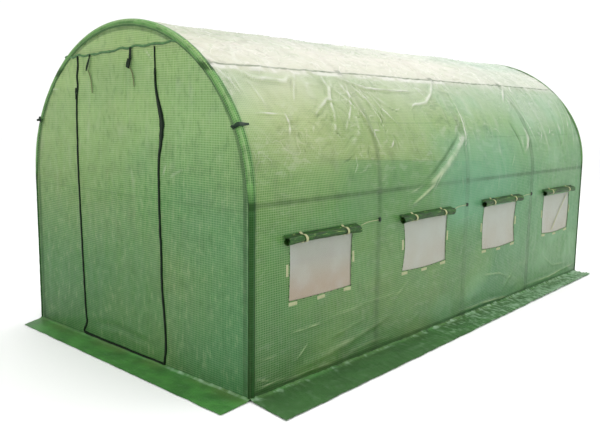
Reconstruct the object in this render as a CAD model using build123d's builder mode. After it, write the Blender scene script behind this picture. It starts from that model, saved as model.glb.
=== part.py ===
"""Polytunnel greenhouse: a tube frame of five arches under a sewn film cover.

Millimetres, +Z up. The origin is on the ground at the middle of the footprint,
the door gable looks along -Y and the ridge runs along Y.
"""
import os
from math import cos, degrees, radians, sin, sqrt, tan

from build123d import *

# Overall size, measured over the film
tunnel_width = 2000
tunnel_length = 4000
bay_count = 4

# Section of the tunnel: straight leg, shoulder arc, crown arc
waist_height = 942
spring_rise = 28
shoulder_radius = 750
shoulder_angle = 34
upper_angle = 50

# Tubes and fittings of the frame; a tube is drawn with a few flats in place of a circle
tube_diameter = 25
tube_sides = 6
fitting_wall = 2.7
fitting_reach = 42
fitting_web = 2
tee_reach = 70

# Film and the small gaps between neighbours
film = 3
seat_gap = 0.3

# Cross tube over the door and across the rear gable: its step up the arc from the upper purlins
crossbar_step = 10.5

# Door in the front gable
door_left = -475
door_right = 317
door_foot = 4
zip_width = 13
zip_thickness = 3
header_band_height = 24
header_band_thickness = 2.5

# Ties that hold the door when it is rolled up
tie_places = (-325, 78)
tie_strap_width = 22
tie_strap_drop = 78
tie_ribbon_width = 13
tie_ribbon_drop = 118
tie_thickness = 3

# Ground flaps that are weighted down with soil
skirt_front_width = 207
skirt_front_far_width = 157
skirt_side_width = 280
skirt_side_far_width = 126
skirt_flare = 43
skirt_tuck = 70

# Side windows: mesh, rolled flap, webbing ties and hook-and-loop patches
window_width = 500
window_height = 300
window_sill = 442
net_margin = 20
net_thickness = 1.5
roll_diameter = 50
roll_length = 600
roll_rise = 26
roll_tie_width = 20
roll_tie_thickness = 1.5
roll_tie_spread = 330
patch_width = 22
patch_length = 64
patch_thickness = 1.2
patch_step = 15

# Small fasteners on the film
tab_length = 22
tab_rise = 16
tab_depth = 9
tab_lift = 14
clip_angle = 27.4
clip_width = 24
clip_thickness = 4
clip_side_length = 62
clip_front_length = 34
clip_knob_diameter = 14
clip_knob_length = 20

half_width = tunnel_width / 2
half_length = tunnel_length / 2
spring_height = waist_height + spring_rise
tube_radius = tube_diameter / 2
fitting_radius = tube_radius + seat_gap + fitting_wall
frame_inset = film + seat_gap + fitting_radius
shoulder_x = half_width - shoulder_radius
crown_z = spring_height - shoulder_x * tan(radians(shoulder_angle))
crown_radius = shoulder_radius + shoulder_x / cos(radians(shoulder_angle))
arch_pitch = (tunnel_length - 2 * frame_inset) / bay_count
arch_rows = [-half_length + frame_inset + arch_pitch * row for row in range(bay_count + 1)]
bay_middles = [(near + far) / 2 for near, far in zip(arch_rows, arch_rows[1:])]
arch_x = half_width - frame_inset
arch_radius = crown_radius - frame_inset
rail_height = fitting_radius + seat_gap
bore_radius = tube_radius + seat_gap
arm_start = bore_radius + fitting_web
tube_start = arm_start + seat_gap
crossbar_angle = upper_angle + crossbar_step
crossbar_x = arch_radius * cos(radians(crossbar_angle))
crossbar_height = crown_z + arch_radius * sin(radians(crossbar_angle))
front_face = Plane.XZ.offset(half_length)


def cross_plane(y):
    """Plane across the tunnel at a station, its local y running up."""
    return Plane.XZ.offset(-y)


def save(piece, name):
    piece.part.label = name
    export_step(piece.part, f"parts/{name}.step")


def section_outline(inset, foot=0):
    """The tunnel's cross-section as a closed line, drawn inside the cover by an inset."""
    side = half_width - inset
    shoulder = shoulder_radius - inset
    with BuildLine() as outline:
        Line((side, foot), (side, spring_height))
        CenterArc((shoulder_x, spring_height), shoulder, 0, shoulder_angle)
        CenterArc((0, crown_z), crown_radius - inset, shoulder_angle, 180 - 2 * shoulder_angle)
        CenterArc((-shoulder_x, spring_height), shoulder, 180 - shoulder_angle, shoulder_angle)
        Line((-side, spring_height), (-side, foot))
        Line((-side, foot), (side, foot))
    return outline.line


def draw_section(kind):
    """The section of a tube, of the bore that takes it, or of a fitting's block."""
    if kind == "block":
        Rectangle(2 * fitting_radius, 2 * fitting_radius)
    elif kind == "bore":
        RegularPolygon(bore_radius, tube_sides)
    else:
        RegularPolygon(tube_radius, tube_sides)


def arch_piece(kind, y, start, sweep_angle, mode=Mode.ADD):
    """A stretch along the crown arc of the arch at a station."""
    with BuildLine(cross_plane(y)) as path:
        CenterArc((0, crown_z), arch_radius, start, sweep_angle)
    outward = (cos(radians(start)), 0, sin(radians(start)))
    with BuildSketch(Plane(origin=path.line @ 0, x_dir=outward, z_dir=path.line % 0)) as section:
        draw_section(kind)
    sweep(section.sketch, path=path.line, mode=mode)


def straight_piece(kind, start, direction, length, mode=Mode.ADD):
    """A straight stretch from a start point."""
    side = Axis.Z.direction if direction == Axis.X.direction else Axis.X.direction
    with BuildSketch(Plane(origin=start, x_dir=side, z_dir=direction)) as section:
        draw_section(kind)
    extrude(section.sketch, amount=length, mode=mode)


def along_x(kind, y, z, near, far, mode=Mode.ADD):
    straight_piece(kind, (near, y, z), Axis.X.direction, far - near, mode)


def along_y(kind, x, z, near, far, mode=Mode.ADD):
    straight_piece(kind, (x, near, z), Axis.Y.direction, far - near, mode)


def along_z(kind, x, y, low, high, mode=Mode.ADD):
    straight_piece(kind, (x, y, low), Axis.Z.direction, high - low, mode)


def fitting_arms(x, z, y):
    """A fitting's arms towards the next arches; none reaches beyond a gable."""
    along_y("block", x, z, max(y - fitting_reach, arch_rows[0]), min(y + fitting_reach, arch_rows[-1]))


def fitting_sockets(x, z, y):
    """Blind bores for the tubes that come from the next arches."""
    if y < arch_rows[-1]:
        along_y("bore", x, z, y + arm_start, y + 2 * fitting_reach, Mode.SUBTRACT)
    if y > arch_rows[0]:
        along_y("bore", x, z, y - 2 * fitting_reach, y - arm_start, Mode.SUBTRACT)


def purlin_tubes(x, z):
    """One tube a bay, its ends inside the fittings."""
    for near, far in zip(arch_rows, arch_rows[1:]):
        along_y("tube", x, z, near + tube_start, far - tube_start)


def both_sides(right):
    """Adds a right-hand piece and its mirror image."""
    add(right.part)
    mirror(right.part, about=Plane.YZ)


os.makedirs("parts", exist_ok=True)

# Arches: one bent tube each, from waist to waist
arch_names = ["arch_front", "arch_second", "arch_middle", "arch_fourth", "arch_rear"]
for arch_name, arch_y in zip(arch_names, arch_rows):
    with BuildPart() as arch:
        with BuildLine(cross_plane(arch_y)) as arch_path:
            Line((arch_x, waist_height), (arch_x, spring_height))
            CenterArc((shoulder_x, spring_height), shoulder_radius - frame_inset, 0, shoulder_angle)
            CenterArc((0, crown_z), arch_radius, shoulder_angle, 180 - 2 * shoulder_angle)
            CenterArc((-shoulder_x, spring_height), shoulder_radius - frame_inset,
                      180 - shoulder_angle, shoulder_angle)
            Line((-arch_x, spring_height), (-arch_x, waist_height))
        with BuildSketch(Plane.XY.offset(waist_height)):
            with Locations((arch_x, arch_y)):
                draw_section("tube")
        sweep()
    save(arch, arch_name)

# Legs: straight tubes that stand on the ground
with BuildPart() as legs_right:
    for arch_y in arch_rows:
        along_z("tube", arch_x, arch_y, 0, waist_height - seat_gap)
save(legs_right, "legs_right")

with BuildPart() as legs_left:
    mirror(legs_right.part, about=Plane.YZ)
save(legs_left, "legs_left")

# Waist fittings: crosses that join leg, arch and waist tubes
with BuildPart() as waist_fittings_right:
    for arch_y in arch_rows:
        along_z("block", arch_x, arch_y, waist_height - fitting_reach, spring_height)
        fitting_arms(arch_x, waist_height, arch_y)
        along_z("bore", arch_x, arch_y, waist_height - fitting_reach, spring_height, Mode.SUBTRACT)
        fitting_sockets(arch_x, waist_height, arch_y)
with BuildPart() as waist_fittings:
    both_sides(waist_fittings_right)
save(waist_fittings, "waist_fittings")

# Foot fittings: crosses at the ground for the base rails
foot_height = rail_height + fitting_reach
with BuildPart() as foot_fittings_right:
    for arch_y in arch_rows:
        along_z("block", arch_x, arch_y, 0, foot_height)
        fitting_arms(arch_x, rail_height, arch_y)
        along_z("bore", arch_x, arch_y, 0, foot_height, Mode.SUBTRACT)
        fitting_sockets(arch_x, rail_height, arch_y)
with BuildPart() as foot_fittings:
    both_sides(foot_fittings_right)
save(foot_fittings, "foot_fittings")

# Ridge fittings: curved sleeves on the crown arc with sockets for the purlins
ridge_z = crown_z + arch_radius
sleeve_angle = degrees(fitting_reach / arch_radius)
with BuildPart() as ridge_fittings:
    for arch_y in arch_rows:
        arch_piece("block", arch_y, 90 - sleeve_angle, 2 * sleeve_angle)
        fitting_arms(0, ridge_z, arch_y)
        arch_piece("bore", arch_y, 90 - sleeve_angle, 2 * sleeve_angle, Mode.SUBTRACT)
        fitting_sockets(0, ridge_z, arch_y)
save(ridge_fittings, "ridge_fittings")

# Upper fittings: the same crosses, turned down the arc on both sides
crown_axis = Axis((0, 0, crown_z), (0, 1, 0))
with BuildPart() as upper_fittings:
    for side in (-1, 1):
        add(ridge_fittings.part.rotate(crown_axis, side * (90 - upper_angle)))
save(upper_fittings, "upper_fittings")

# Purlins and base rails: a tube in every bay
with BuildPart() as ridge_purlin:
    purlin_tubes(0, ridge_z)
save(ridge_purlin, "ridge_purlin")

with BuildPart() as upper_purlin_right:
    add(ridge_purlin.part.rotate(crown_axis, 90 - upper_angle))
save(upper_purlin_right, "upper_purlin_right")

with BuildPart() as upper_purlin_left:
    add(ridge_purlin.part.rotate(crown_axis, upper_angle - 90))
save(upper_purlin_left, "upper_purlin_left")

with BuildPart() as waist_purlin_right:
    purlin_tubes(arch_x, waist_height)
save(waist_purlin_right, "waist_purlin_right")

with BuildPart() as waist_purlin_left:
    mirror(waist_purlin_right.part, about=Plane.YZ)
save(waist_purlin_left, "waist_purlin_left")

with BuildPart() as base_rail_right:
    purlin_tubes(arch_x, rail_height)
save(base_rail_right, "base_rail_right")

with BuildPart() as base_rail_left:
    mirror(base_rail_right.part, about=Plane.YZ)
save(base_rail_left, "base_rail_left")

# Gable cross tubes, held by tees that are sleeved over the arch
crossbar_tilt = radians(crossbar_angle)
tee_start = crossbar_x - arm_start / cos(crossbar_tilt) - bore_radius * tan(crossbar_tilt)
tee_angle = degrees(tee_reach / arch_radius)
with BuildPart() as crossbar_fittings_right:
    for arch_y in (arch_rows[0], arch_rows[-1]):
        arch_piece("block", arch_y, crossbar_angle - tee_angle, 2 * tee_angle)
        along_x("block", arch_y, crossbar_height, tee_start - fitting_reach, crossbar_x)
        arch_piece("bore", arch_y, crossbar_angle - tee_angle, 2 * tee_angle, Mode.SUBTRACT)
        along_x("bore", arch_y, crossbar_height, tee_start - 2 * fitting_reach, tee_start, Mode.SUBTRACT)
with BuildPart() as crossbar_fittings:
    both_sides(crossbar_fittings_right)
save(crossbar_fittings, "crossbar_fittings")

bar_end = tee_start - seat_gap
for crossbar_name, arch_y in (("front_crossbar", arch_rows[0]), ("rear_crossbar", arch_rows[-1])):
    with BuildPart() as crossbar:
        along_x("tube", arch_y, crossbar_height, -bar_end, bar_end)
    save(crossbar, crossbar_name)

# Cover: roof over the crown, from one upper purlin to the other
with BuildPart() as cover_roof:
    with BuildSketch(Plane.XZ.offset(-half_length)):
        with BuildLine():
            roof_arc = CenterArc((0, crown_z), crown_radius, upper_angle, 180 - 2 * upper_angle)
            under_arc = CenterArc((0, crown_z), crown_radius - film, upper_angle, 180 - 2 * upper_angle)
            Line(roof_arc @ 0, under_arc @ 0)
            Line(roof_arc @ 1, under_arc @ 1)
        make_face()
    extrude(amount=tunnel_length)
save(cover_roof, "cover_roof")

# Cover: shoulders from the upper purlin down to the waist
with BuildPart() as cover_shoulder_right:
    with BuildSketch(Plane.XZ.offset(-half_length)):
        with BuildLine():
            crown_sweep = upper_angle - shoulder_angle
            outer_crown = CenterArc((0, crown_z), crown_radius, shoulder_angle, crown_sweep)
            outer_bend = CenterArc((shoulder_x, spring_height), shoulder_radius, 0, shoulder_angle)
            inner_crown = CenterArc((0, crown_z), crown_radius - film, shoulder_angle, crown_sweep)
            inner_bend = CenterArc((shoulder_x, spring_height), shoulder_radius - film, 0, shoulder_angle)
            Polyline(outer_bend @ 0, (half_width, waist_height), (half_width - film, waist_height),
                     inner_bend @ 0)
            Line(outer_crown @ 1, inner_crown @ 1)
        make_face()
    extrude(amount=tunnel_length)
save(cover_shoulder_right, "cover_shoulder_right")

with BuildPart() as cover_shoulder_left:
    mirror(cover_shoulder_right.part, about=Plane.YZ)
save(cover_shoulder_left, "cover_shoulder_left")

# Cover: upright walls with a window in every bay
window_middle = window_sill + window_height / 2
right_wall = Plane.YZ.offset(half_width)
with BuildPart() as cover_wall_right:
    with BuildSketch(right_wall):
        with Locations((0, waist_height / 2)):
            Rectangle(tunnel_length, waist_height)
        with Locations([(bay_y, window_middle) for bay_y in bay_middles]):
            Rectangle(window_width, window_height, mode=Mode.SUBTRACT)
    extrude(amount=-film)
save(cover_wall_right, "cover_wall_right")

with BuildPart() as cover_wall_left:
    mirror(cover_wall_right.part, about=Plane.YZ)
save(cover_wall_left, "cover_wall_left")

# Gables: the front one is cut for the door, the rear one is whole
gable_inset = film + seat_gap
panel_limits = {
    "cover_front_left": (-tunnel_width, door_left - seat_gap / 2, 0, crossbar_height),
    "cover_front_right": (door_right + seat_gap / 2, tunnel_width, 0, crossbar_height),
    "cover_front_top": (-tunnel_width, tunnel_width, crossbar_height + seat_gap, tunnel_length),
    "door_panel": (door_left + seat_gap, door_right - seat_gap, door_foot, crossbar_height),
    "cover_rear": (-tunnel_width, tunnel_width, 0, tunnel_length),
}
for panel_name, (left, right, low, high) in panel_limits.items():
    panel_plane = front_face
    if panel_name == "cover_rear":
        panel_plane = Plane.XZ.offset(-half_length + film)
    with BuildPart() as panel:
        with BuildSketch(panel_plane):
            make_face(section_outline(gable_inset).edges())
            with Locations(((left + right) / 2, (low + high) / 2)):
                Rectangle(right - left, high - low, mode=Mode.INTERSECT)
        extrude(amount=-film)
    save(panel, panel_name)

# Door zip: down one side, along the foot and up the other side
zip_face = Plane.XZ.offset(half_length + seat_gap)
zip_top = crossbar_height - header_band_height / 2 - seat_gap
with BuildPart() as door_zips:
    with BuildSketch(zip_face):
        with Locations(((door_left + door_right) / 2, (film + seat_gap + zip_top) / 2)):
            Rectangle(door_right - door_left + zip_width, zip_top - film - seat_gap)
        with Locations(((door_left + door_right) / 2, (film + seat_gap + zip_width + zip_top) / 2)):
            Rectangle(door_right - door_left - zip_width, zip_top - film - seat_gap - zip_width,
                      mode=Mode.SUBTRACT)
    extrude(amount=zip_thickness)
save(door_zips, "door_zips")

# Sewn band over the door, level with the cross tube
band_half = sqrt((crown_radius - gable_inset) ** 2 - (crossbar_height + header_band_height - crown_z) ** 2)
with BuildPart() as front_header_band:
    with BuildSketch(zip_face):
        with Locations((0, crossbar_height)):
            Rectangle(2 * band_half, header_band_height)
    extrude(amount=header_band_thickness)
save(front_header_band, "front_header_band")

# Door ties: a wide strap with a narrow ribbon hanging from it
with BuildPart() as door_ties:
    with BuildSketch(zip_face):
        with Locations([(tie_x, zip_top - tie_strap_drop / 2) for tie_x in tie_places]):
            Rectangle(tie_strap_width, tie_strap_drop)
        with Locations([(tie_x, zip_top - tie_strap_drop - tie_ribbon_drop / 2) for tie_x in tie_places]):
            Rectangle(tie_ribbon_width, tie_ribbon_drop)
    extrude(amount=tie_thickness)
save(door_ties, "door_ties")

# Ground flaps, open at the corners; they narrow as they do on the real cover
side_edge = half_width + seat_gap
with BuildPart() as skirt_right:
    with BuildSketch():
        with BuildLine():
            Polyline(
                (side_edge, -half_length),
                (side_edge, half_length),
                (half_width + skirt_side_far_width, half_length + skirt_flare),
                (half_width + skirt_side_width, -half_length - skirt_flare),
                close=True,
            )
        make_face()
    extrude(amount=film)
save(skirt_right, "skirt_right")

with BuildPart() as skirt_left:
    mirror(skirt_right.part, about=Plane.YZ)
save(skirt_left, "skirt_left")

front_edge = half_length + seat_gap
with BuildPart() as skirt_front:
    with BuildSketch():
        with BuildLine():
            Polyline(
                (-half_width, -front_edge),
                (half_width, -front_edge),
                (half_width + skirt_flare / 2, -half_length - skirt_front_width),
                (-half_width + skirt_tuck, -half_length - skirt_front_far_width),
                close=True,
            )
        make_face()
    extrude(amount=film)
save(skirt_front, "skirt_front")

with BuildPart() as skirt_rear:
    mirror(skirt_front.part, about=Plane.XZ)
save(skirt_rear, "skirt_rear")

# Insect mesh behind each window, a little larger than the opening
with BuildPart() as window_nets_right:
    with BuildSketch(Plane.YZ.offset(half_width - film - seat_gap)):
        with Locations([(bay_y, window_middle) for bay_y in bay_middles]):
            Rectangle(window_width + 2 * net_margin, window_height + 2 * net_margin)
    extrude(amount=-net_thickness)
with BuildPart() as window_nets:
    both_sides(window_nets_right)
save(window_nets, "window_nets")

# Window flaps, rolled up above each opening and held by webbing ties
roll_z = window_sill + window_height + roll_rise
tie_bore = (roll_diameter / 2 + seat_gap) / cos(radians(180 / tube_sides))
roll_x = half_width + seat_gap + roll_tie_thickness + tie_bore
with BuildPart() as window_rolls_right:
    for bay_y in bay_middles:
        with Locations((roll_x, bay_y, roll_z)):
            Cylinder(roll_diameter / 2, roll_length, rotation=(90, 0, 0))
save(window_rolls_right, "window_rolls_right")

with BuildPart() as window_rolls_left:
    mirror(window_rolls_right.part, about=Plane.YZ)
save(window_rolls_left, "window_rolls_left")

tie_rows = [bay_y + side * roll_tie_spread / 2 for bay_y in bay_middles for side in (-1, 1)]
with BuildPart() as roll_ties_right:
    for tie_y in tie_rows:
        with BuildSketch(Plane.XZ.offset(-tie_y - roll_tie_width / 2)):
            with Locations((roll_x, roll_z)):
                RegularPolygon(tie_bore + roll_tie_thickness, tube_sides)
                RegularPolygon(tie_bore, tube_sides, mode=Mode.SUBTRACT)
        extrude(amount=roll_tie_width)
with BuildPart() as roll_ties:
    both_sides(roll_ties_right)
save(roll_ties, "roll_ties")

# Hook-and-loop patches round each window
patch_low = window_sill - patch_step
patch_side = window_width / 2 + patch_step
patch_spread = window_width / 2 - patch_length / 2
with BuildPart() as net_patches_right:
    with BuildSketch(Plane.YZ.offset(half_width + seat_gap)):
        for bay_y in bay_middles:
            with Locations([(bay_y + step * patch_spread, patch_low) for step in (-1, 0, 1)]):
                Rectangle(patch_length, patch_width)
            with Locations([(bay_y + step * patch_side, window_middle) for step in (-1, 1)]):
                Rectangle(patch_width, patch_length)
    extrude(amount=patch_thickness)
with BuildPart() as net_patches:
    both_sides(net_patches_right)
save(net_patches, "net_patches")

# Small tabs on the wall at the inner arches
tab_height = roll_z + tab_lift
with BuildPart() as wall_tabs_right:
    with BuildSketch(Plane.YZ.offset(half_width + seat_gap)):
        with Locations([(arch_y, tab_height) for arch_y in arch_rows[1:-1]]):
            Rectangle(tab_length, tab_rise)
    extrude(amount=tab_depth)
with BuildPart() as wall_tabs:
    both_sides(wall_tabs_right)
save(wall_tabs, "wall_tabs")

# Clips that pinch the cover to the front arch: an angle with a round knob
clip_cos, clip_sin = cos(radians(clip_angle)), sin(radians(clip_angle))
clip_origin = (shoulder_x + shoulder_radius * clip_cos, -half_length, spring_height + shoulder_radius * clip_sin)
clip_plane = Plane(origin=clip_origin, x_dir=(clip_cos, 0, clip_sin), z_dir=(-clip_sin, 0, clip_cos))
knob_radius = shoulder_radius - frame_inset
knob_place = (shoulder_x + knob_radius * clip_cos, spring_height + knob_radius * clip_sin)
with BuildPart() as cover_clip_right:
    with BuildSketch(clip_plane.offset(-clip_width / 2)):
        with BuildLine():
            Polyline(
                (seat_gap, clip_side_length),
                (seat_gap, -seat_gap),
                (-clip_front_length, -seat_gap),
                (-clip_front_length, -seat_gap - clip_thickness),
                (seat_gap + clip_thickness, -seat_gap - clip_thickness),
                (seat_gap + clip_thickness, clip_side_length),
                close=True,
            )
        make_face()
    extrude(amount=clip_width)
    with BuildSketch(Plane.XZ.offset(half_length + seat_gap + clip_thickness)):
        with Locations(knob_place):
            RegularPolygon(clip_knob_diameter / 2, tube_sides)
    extrude(amount=clip_knob_length)
with BuildPart() as cover_clips:
    both_sides(cover_clip_right)
save(cover_clips, "cover_clips")
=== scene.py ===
import math

import bpy
import numpy as np
from mathutils import Matrix, Vector


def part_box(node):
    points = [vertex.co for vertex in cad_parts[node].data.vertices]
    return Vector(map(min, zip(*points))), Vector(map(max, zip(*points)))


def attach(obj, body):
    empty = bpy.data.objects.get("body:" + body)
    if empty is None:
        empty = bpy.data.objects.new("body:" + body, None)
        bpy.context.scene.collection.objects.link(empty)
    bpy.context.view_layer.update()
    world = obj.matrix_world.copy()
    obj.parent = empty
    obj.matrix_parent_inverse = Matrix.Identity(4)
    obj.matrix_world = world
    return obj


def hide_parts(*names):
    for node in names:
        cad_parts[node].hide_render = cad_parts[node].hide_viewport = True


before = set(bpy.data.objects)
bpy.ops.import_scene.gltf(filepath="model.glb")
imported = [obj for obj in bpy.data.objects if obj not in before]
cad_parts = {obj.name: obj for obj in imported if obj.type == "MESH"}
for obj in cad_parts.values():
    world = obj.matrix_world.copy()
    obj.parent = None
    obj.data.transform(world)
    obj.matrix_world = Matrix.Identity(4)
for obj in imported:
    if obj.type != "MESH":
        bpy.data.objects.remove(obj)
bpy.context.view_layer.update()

# shader maths


def tone(red, green, blue):
    # a colour read off a paint card, 0 to 255, as Blender's linear colour
    def straight(value):
        value = value / 255
        return value / 12.92 if value <= 0.04045 else ((value + 0.055) / 1.055) ** 2.4
    return (straight(red), straight(green), straight(blue), 1.0)


class Wire:
    # one socket of a material, so that shader maths reads as plain maths
    def __init__(self, graph, socket):
        self.graph = graph
        self.socket = socket

    def maths(self, operation, first, second=0.0):
        return self.graph.node("ShaderNodeMath", {"operation": operation}, {0: first, 1: second})

    def __add__(self, other):
        return self.maths("ADD", self, other)

    def __sub__(self, other):
        return self.maths("SUBTRACT", self, other)

    def __rsub__(self, other):
        return self.maths("SUBTRACT", other, self)

    def __mul__(self, other):
        return self.maths("MULTIPLY", self, other)

    def __truediv__(self, other):
        return self.maths("DIVIDE", self, other)

    def __abs__(self):
        return self.maths("ABSOLUTE", self)

    __radd__ = __add__
    __rmul__ = __mul__


class Graph:
    # the nodes of one material; its colour is built up in coats
    def __init__(self, name, look):
        self.look = look
        self.material = bpy.data.materials.new(name)
        self.material.use_nodes = True
        self.tree = self.material.node_tree
        self.tree.nodes.clear()
        self.output = self.tree.nodes.new("ShaderNodeOutputMaterial")
        self.place = self.node("ShaderNodeTexCoord", out="Object")
        self.colour = None

    def node(self, kind, settings=None, sockets=None, out=0):
        made = self.tree.nodes.new(kind)
        for key, value in (settings or {}).items():
            if key == "stops":
                ramp = made.color_ramp
                while len(ramp.elements) < len(value):
                    ramp.elements.new(0.5)
                for element, (position, colour) in zip(ramp.elements, value):
                    element.position = position
                    element.color = colour
            else:
                setattr(made, key, value)
        for key, value in (sockets or {}).items():
            if isinstance(value, Wire):
                self.tree.links.new(value.socket, made.inputs[key])
            else:
                made.inputs[key].default_value = value
        return Wire(self, made.outputs[out])

    def attribute(self, name, out):
        return self.node("ShaderNodeAttribute", {"attribute_name": name}, {}, out)

    def split(self, vector):
        pulled = self.tree.nodes.new("ShaderNodeSeparateXYZ")
        self.tree.links.new(vector.socket, pulled.inputs[0])
        return [Wire(self, pulled.outputs[i]) for i in range(3)]

    def sewn(self):
        # lengths along and over the cloth as it was cut, and a third measure
        return self.split(self.attribute("cut", "Vector"))

    def rise(self, value, low, high):
        # 0 below low, 1 above high, smooth between
        return self.node("ShaderNodeMapRange", {"interpolation_type": "SMOOTHSTEP"},
                         {"Value": value, "From Min": low, "From Max": high})

    def fall(self, value, low, high):
        return 1 - self.rise(value, low, high)

    def near(self, value, centre, half, soft):
        # 1 within half of the centre, falling to 0 over soft
        return self.fall(abs(value - centre), half, half + soft)

    def noise(self, scale, detail=3.0, roughness=0.5, factors=None, vector=None):
        vector = vector or self.place
        if factors:
            vector = self.node("ShaderNodeVectorMath", {"operation": "MULTIPLY"}, {0: vector, 1: factors})
        return self.node("ShaderNodeTexNoise", {},
                         {"Vector": vector, "Scale": scale, "Detail": detail, "Roughness": roughness})

    def lines(self, value, pitch, half):
        # 1 on evenly spaced lines
        away = self.node("ShaderNodeMath", {"operation": "PINGPONG"}, {0: value, 1: pitch / 2})
        return self.fall(away, half * 0.4, half)

    def threads(self, u, v, half, pitch):
        # the grid of threads that a film or a net is woven with
        return self.larger(self.lines(u, pitch, half), self.lines(v, pitch, half))

    def larger(self, first, *others):
        for other in others:
            first = self.node("ShaderNodeMath", {"operation": "MAXIMUM"}, {0: first, 1: other})
        return first

    def named(self, colour):
        return tone(*self.look[colour]) if isinstance(colour, str) else colour

    def mix(self, mask, first, second):
        return self.node("ShaderNodeMix", {"data_type": "RGBA"},
                         {0: mask, 6: self.named(first), 7: self.named(second)}, 2)

    def coat(self, mask, colour):
        # lays a colour over the coats below
        self.colour = self.mix(mask, self.colour, colour)

    def ramp(self, value, stops):
        stops = [(position, self.named(colour)) for position, colour in stops]
        return self.node("ShaderNodeValToRGB", {"stops": stops}, {"Fac": value})

    def bump(self, height, distance, strength, below=None):
        sockets = {"Height": height, "Distance": distance, "Strength": strength}
        return self.node("ShaderNodeBump", {}, {**sockets, "Normal": below} if below else sockets)

    def surface(self, rough, relief, more=None):
        sockets = {"Base Color": self.colour, "Roughness": rough, "Normal": relief, **(more or {})}
        return self.node("ShaderNodeBsdfPrincipled", {}, sockets)

    def blend(self, share, first, second):
        return self.node("ShaderNodeMixShader", {}, {0: share, 1: first, 2: second})

    def clear(self):
        return self.node("ShaderNodeBsdfTransparent")

    def finish(self, shader):
        self.tree.links.new(shader.socket, self.output.inputs["Surface"])
        return self.material


# camera, floor, light
view = {"place": (3.3394, -4.2498, 1.3709), "lens": 42.65, "turn": 0.735, "down": 0.1477, "roll": 0.0139}
camera = bpy.data.objects.new("camera", bpy.data.cameras.new("camera"))
bpy.context.scene.collection.objects.link(camera)
camera.data.sensor_width = 36
camera.data.sensor_fit = "HORIZONTAL"
camera.data.lens = view["lens"]
camera.data.clip_end = 200
camera.matrix_world = (
    Matrix.Translation(view["place"])
    @ Matrix.Rotation(view["turn"], 4, "Z")
    @ Matrix.Rotation(math.pi / 2 - view["down"], 4, "X")
    @ Matrix.Rotation(view["roll"], 4, "Z")
)
bpy.context.scene.camera = camera
bpy.context.scene.view_settings.view_transform = "Standard"
bpy.context.scene.view_settings.look = "None"

studio = {
    "sky": 1.05, "floor": (252, 252, 252), "floorSoft": (250, 250, 250), "floorReach": 30,
    # name: place, size, strength, what it looks at
    "lamps": {
        "overheadSoftbox": ((0.5, 0.5, 5.2), (6.5, 7.5), 210, (0.2, 0.0, 0.8)),
        "backSoftbox": ((-2.5, 7.5, 3.4), (6.0, 3.0), 60, (0.0, 0.0, 1.4)),
        "sideFill": ((6.0, -3.5, 3.0), (3.0, 2.5), 35, (0.6, 0.0, 0.8)),
    },
}
world = bpy.data.worlds.new("studioSky")
bpy.context.scene.world = world
world.use_nodes = True
world.node_tree.nodes["Background"].inputs["Color"].default_value = (1, 1, 1, 1)
world.node_tree.nodes["Background"].inputs["Strength"].default_value = studio["sky"]
for lampName, (lampPlace, lampSize, power, target) in studio["lamps"].items():
    lamp = bpy.data.objects.new(lampName, bpy.data.lights.new(lampName, "AREA"))
    bpy.context.scene.collection.objects.link(lamp)
    lamp.data.shape = "RECTANGLE"
    lamp.data.size, lamp.data.size_y = lampSize
    lamp.data.energy = power
    lamp.location = lampPlace
    lamp.rotation_euler = (Vector(target) - Vector(lampPlace)).to_track_quat("-Z", "Y").to_euler()


def floorMaterial():
    g = Graph("studioFloor", studio)
    g.colour = g.mix(g.noise(0.7), "floor", "floorSoft")
    return g.finish(g.node("ShaderNodeBsdfPrincipled", {}, {"Base Color": g.colour, "Roughness": 0.8}))


reach = studio["floorReach"]
floorCorners = [(-reach, -reach, 0), (reach, -reach, 0), (reach, reach, 0), (-reach, reach, 0)]
floorMesh = bpy.data.meshes.new("studioFloor")
floorMesh.from_pydata(floorCorners, [], [(0, 1, 2, 3)])
floor = bpy.data.objects.new("studioFloor", floorMesh)
bpy.context.scene.collection.objects.link(floor)
floorMesh.materials.append(floorMaterial())
print("camera, floor and light are set")

# sizes from the frame
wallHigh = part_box("cover_wall_right")[1]
halfWidth, halfLength, waistHeight = wallHigh.x, wallHigh.y, wallHigh.z
archNames = ["arch_front", "arch_second", "arch_middle", "arch_fourth", "arch_rear"]


def middle(node):
    low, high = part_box(node)
    return (low + high) / 2


archRows = [middle(name).y for name in archNames]
pitch = (archRows[-1] - archRows[0]) / 4
bayMiddles = [(near + far) / 2 for near, far in zip(archRows, archRows[1:])]
tubeRadius = 0.0125
threadPitch = 0.0115
archX = middle("legs_right").x
frameInset = halfWidth - archX
headerHeight = middle("front_crossbar").z
tunnel = {
    "shoulderRadius": 0.75, "shoulderTurn": math.radians(34), "springRise": 0.028, "upperTurn": math.radians(50),
}
springHeight = waistHeight + tunnel["springRise"]
shoulderX = halfWidth - tunnel["shoulderRadius"]
crownZ = springHeight - shoulderX * math.tan(tunnel["shoulderTurn"])
crownRadius = tunnel["shoulderRadius"] + shoulderX / math.cos(tunnel["shoulderTurn"])
topHeight = crownZ + crownRadius
# lengths along the section, from the foot
shoulderTop = springHeight + tunnel["shoulderRadius"] * tunnel["shoulderTurn"]
ridgeLength = shoulderTop + crownRadius * (math.pi / 2 - tunnel["shoulderTurn"])
upperLength = shoulderTop + crownRadius * (tunnel["upperTurn"] - tunnel["shoulderTurn"])


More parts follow.
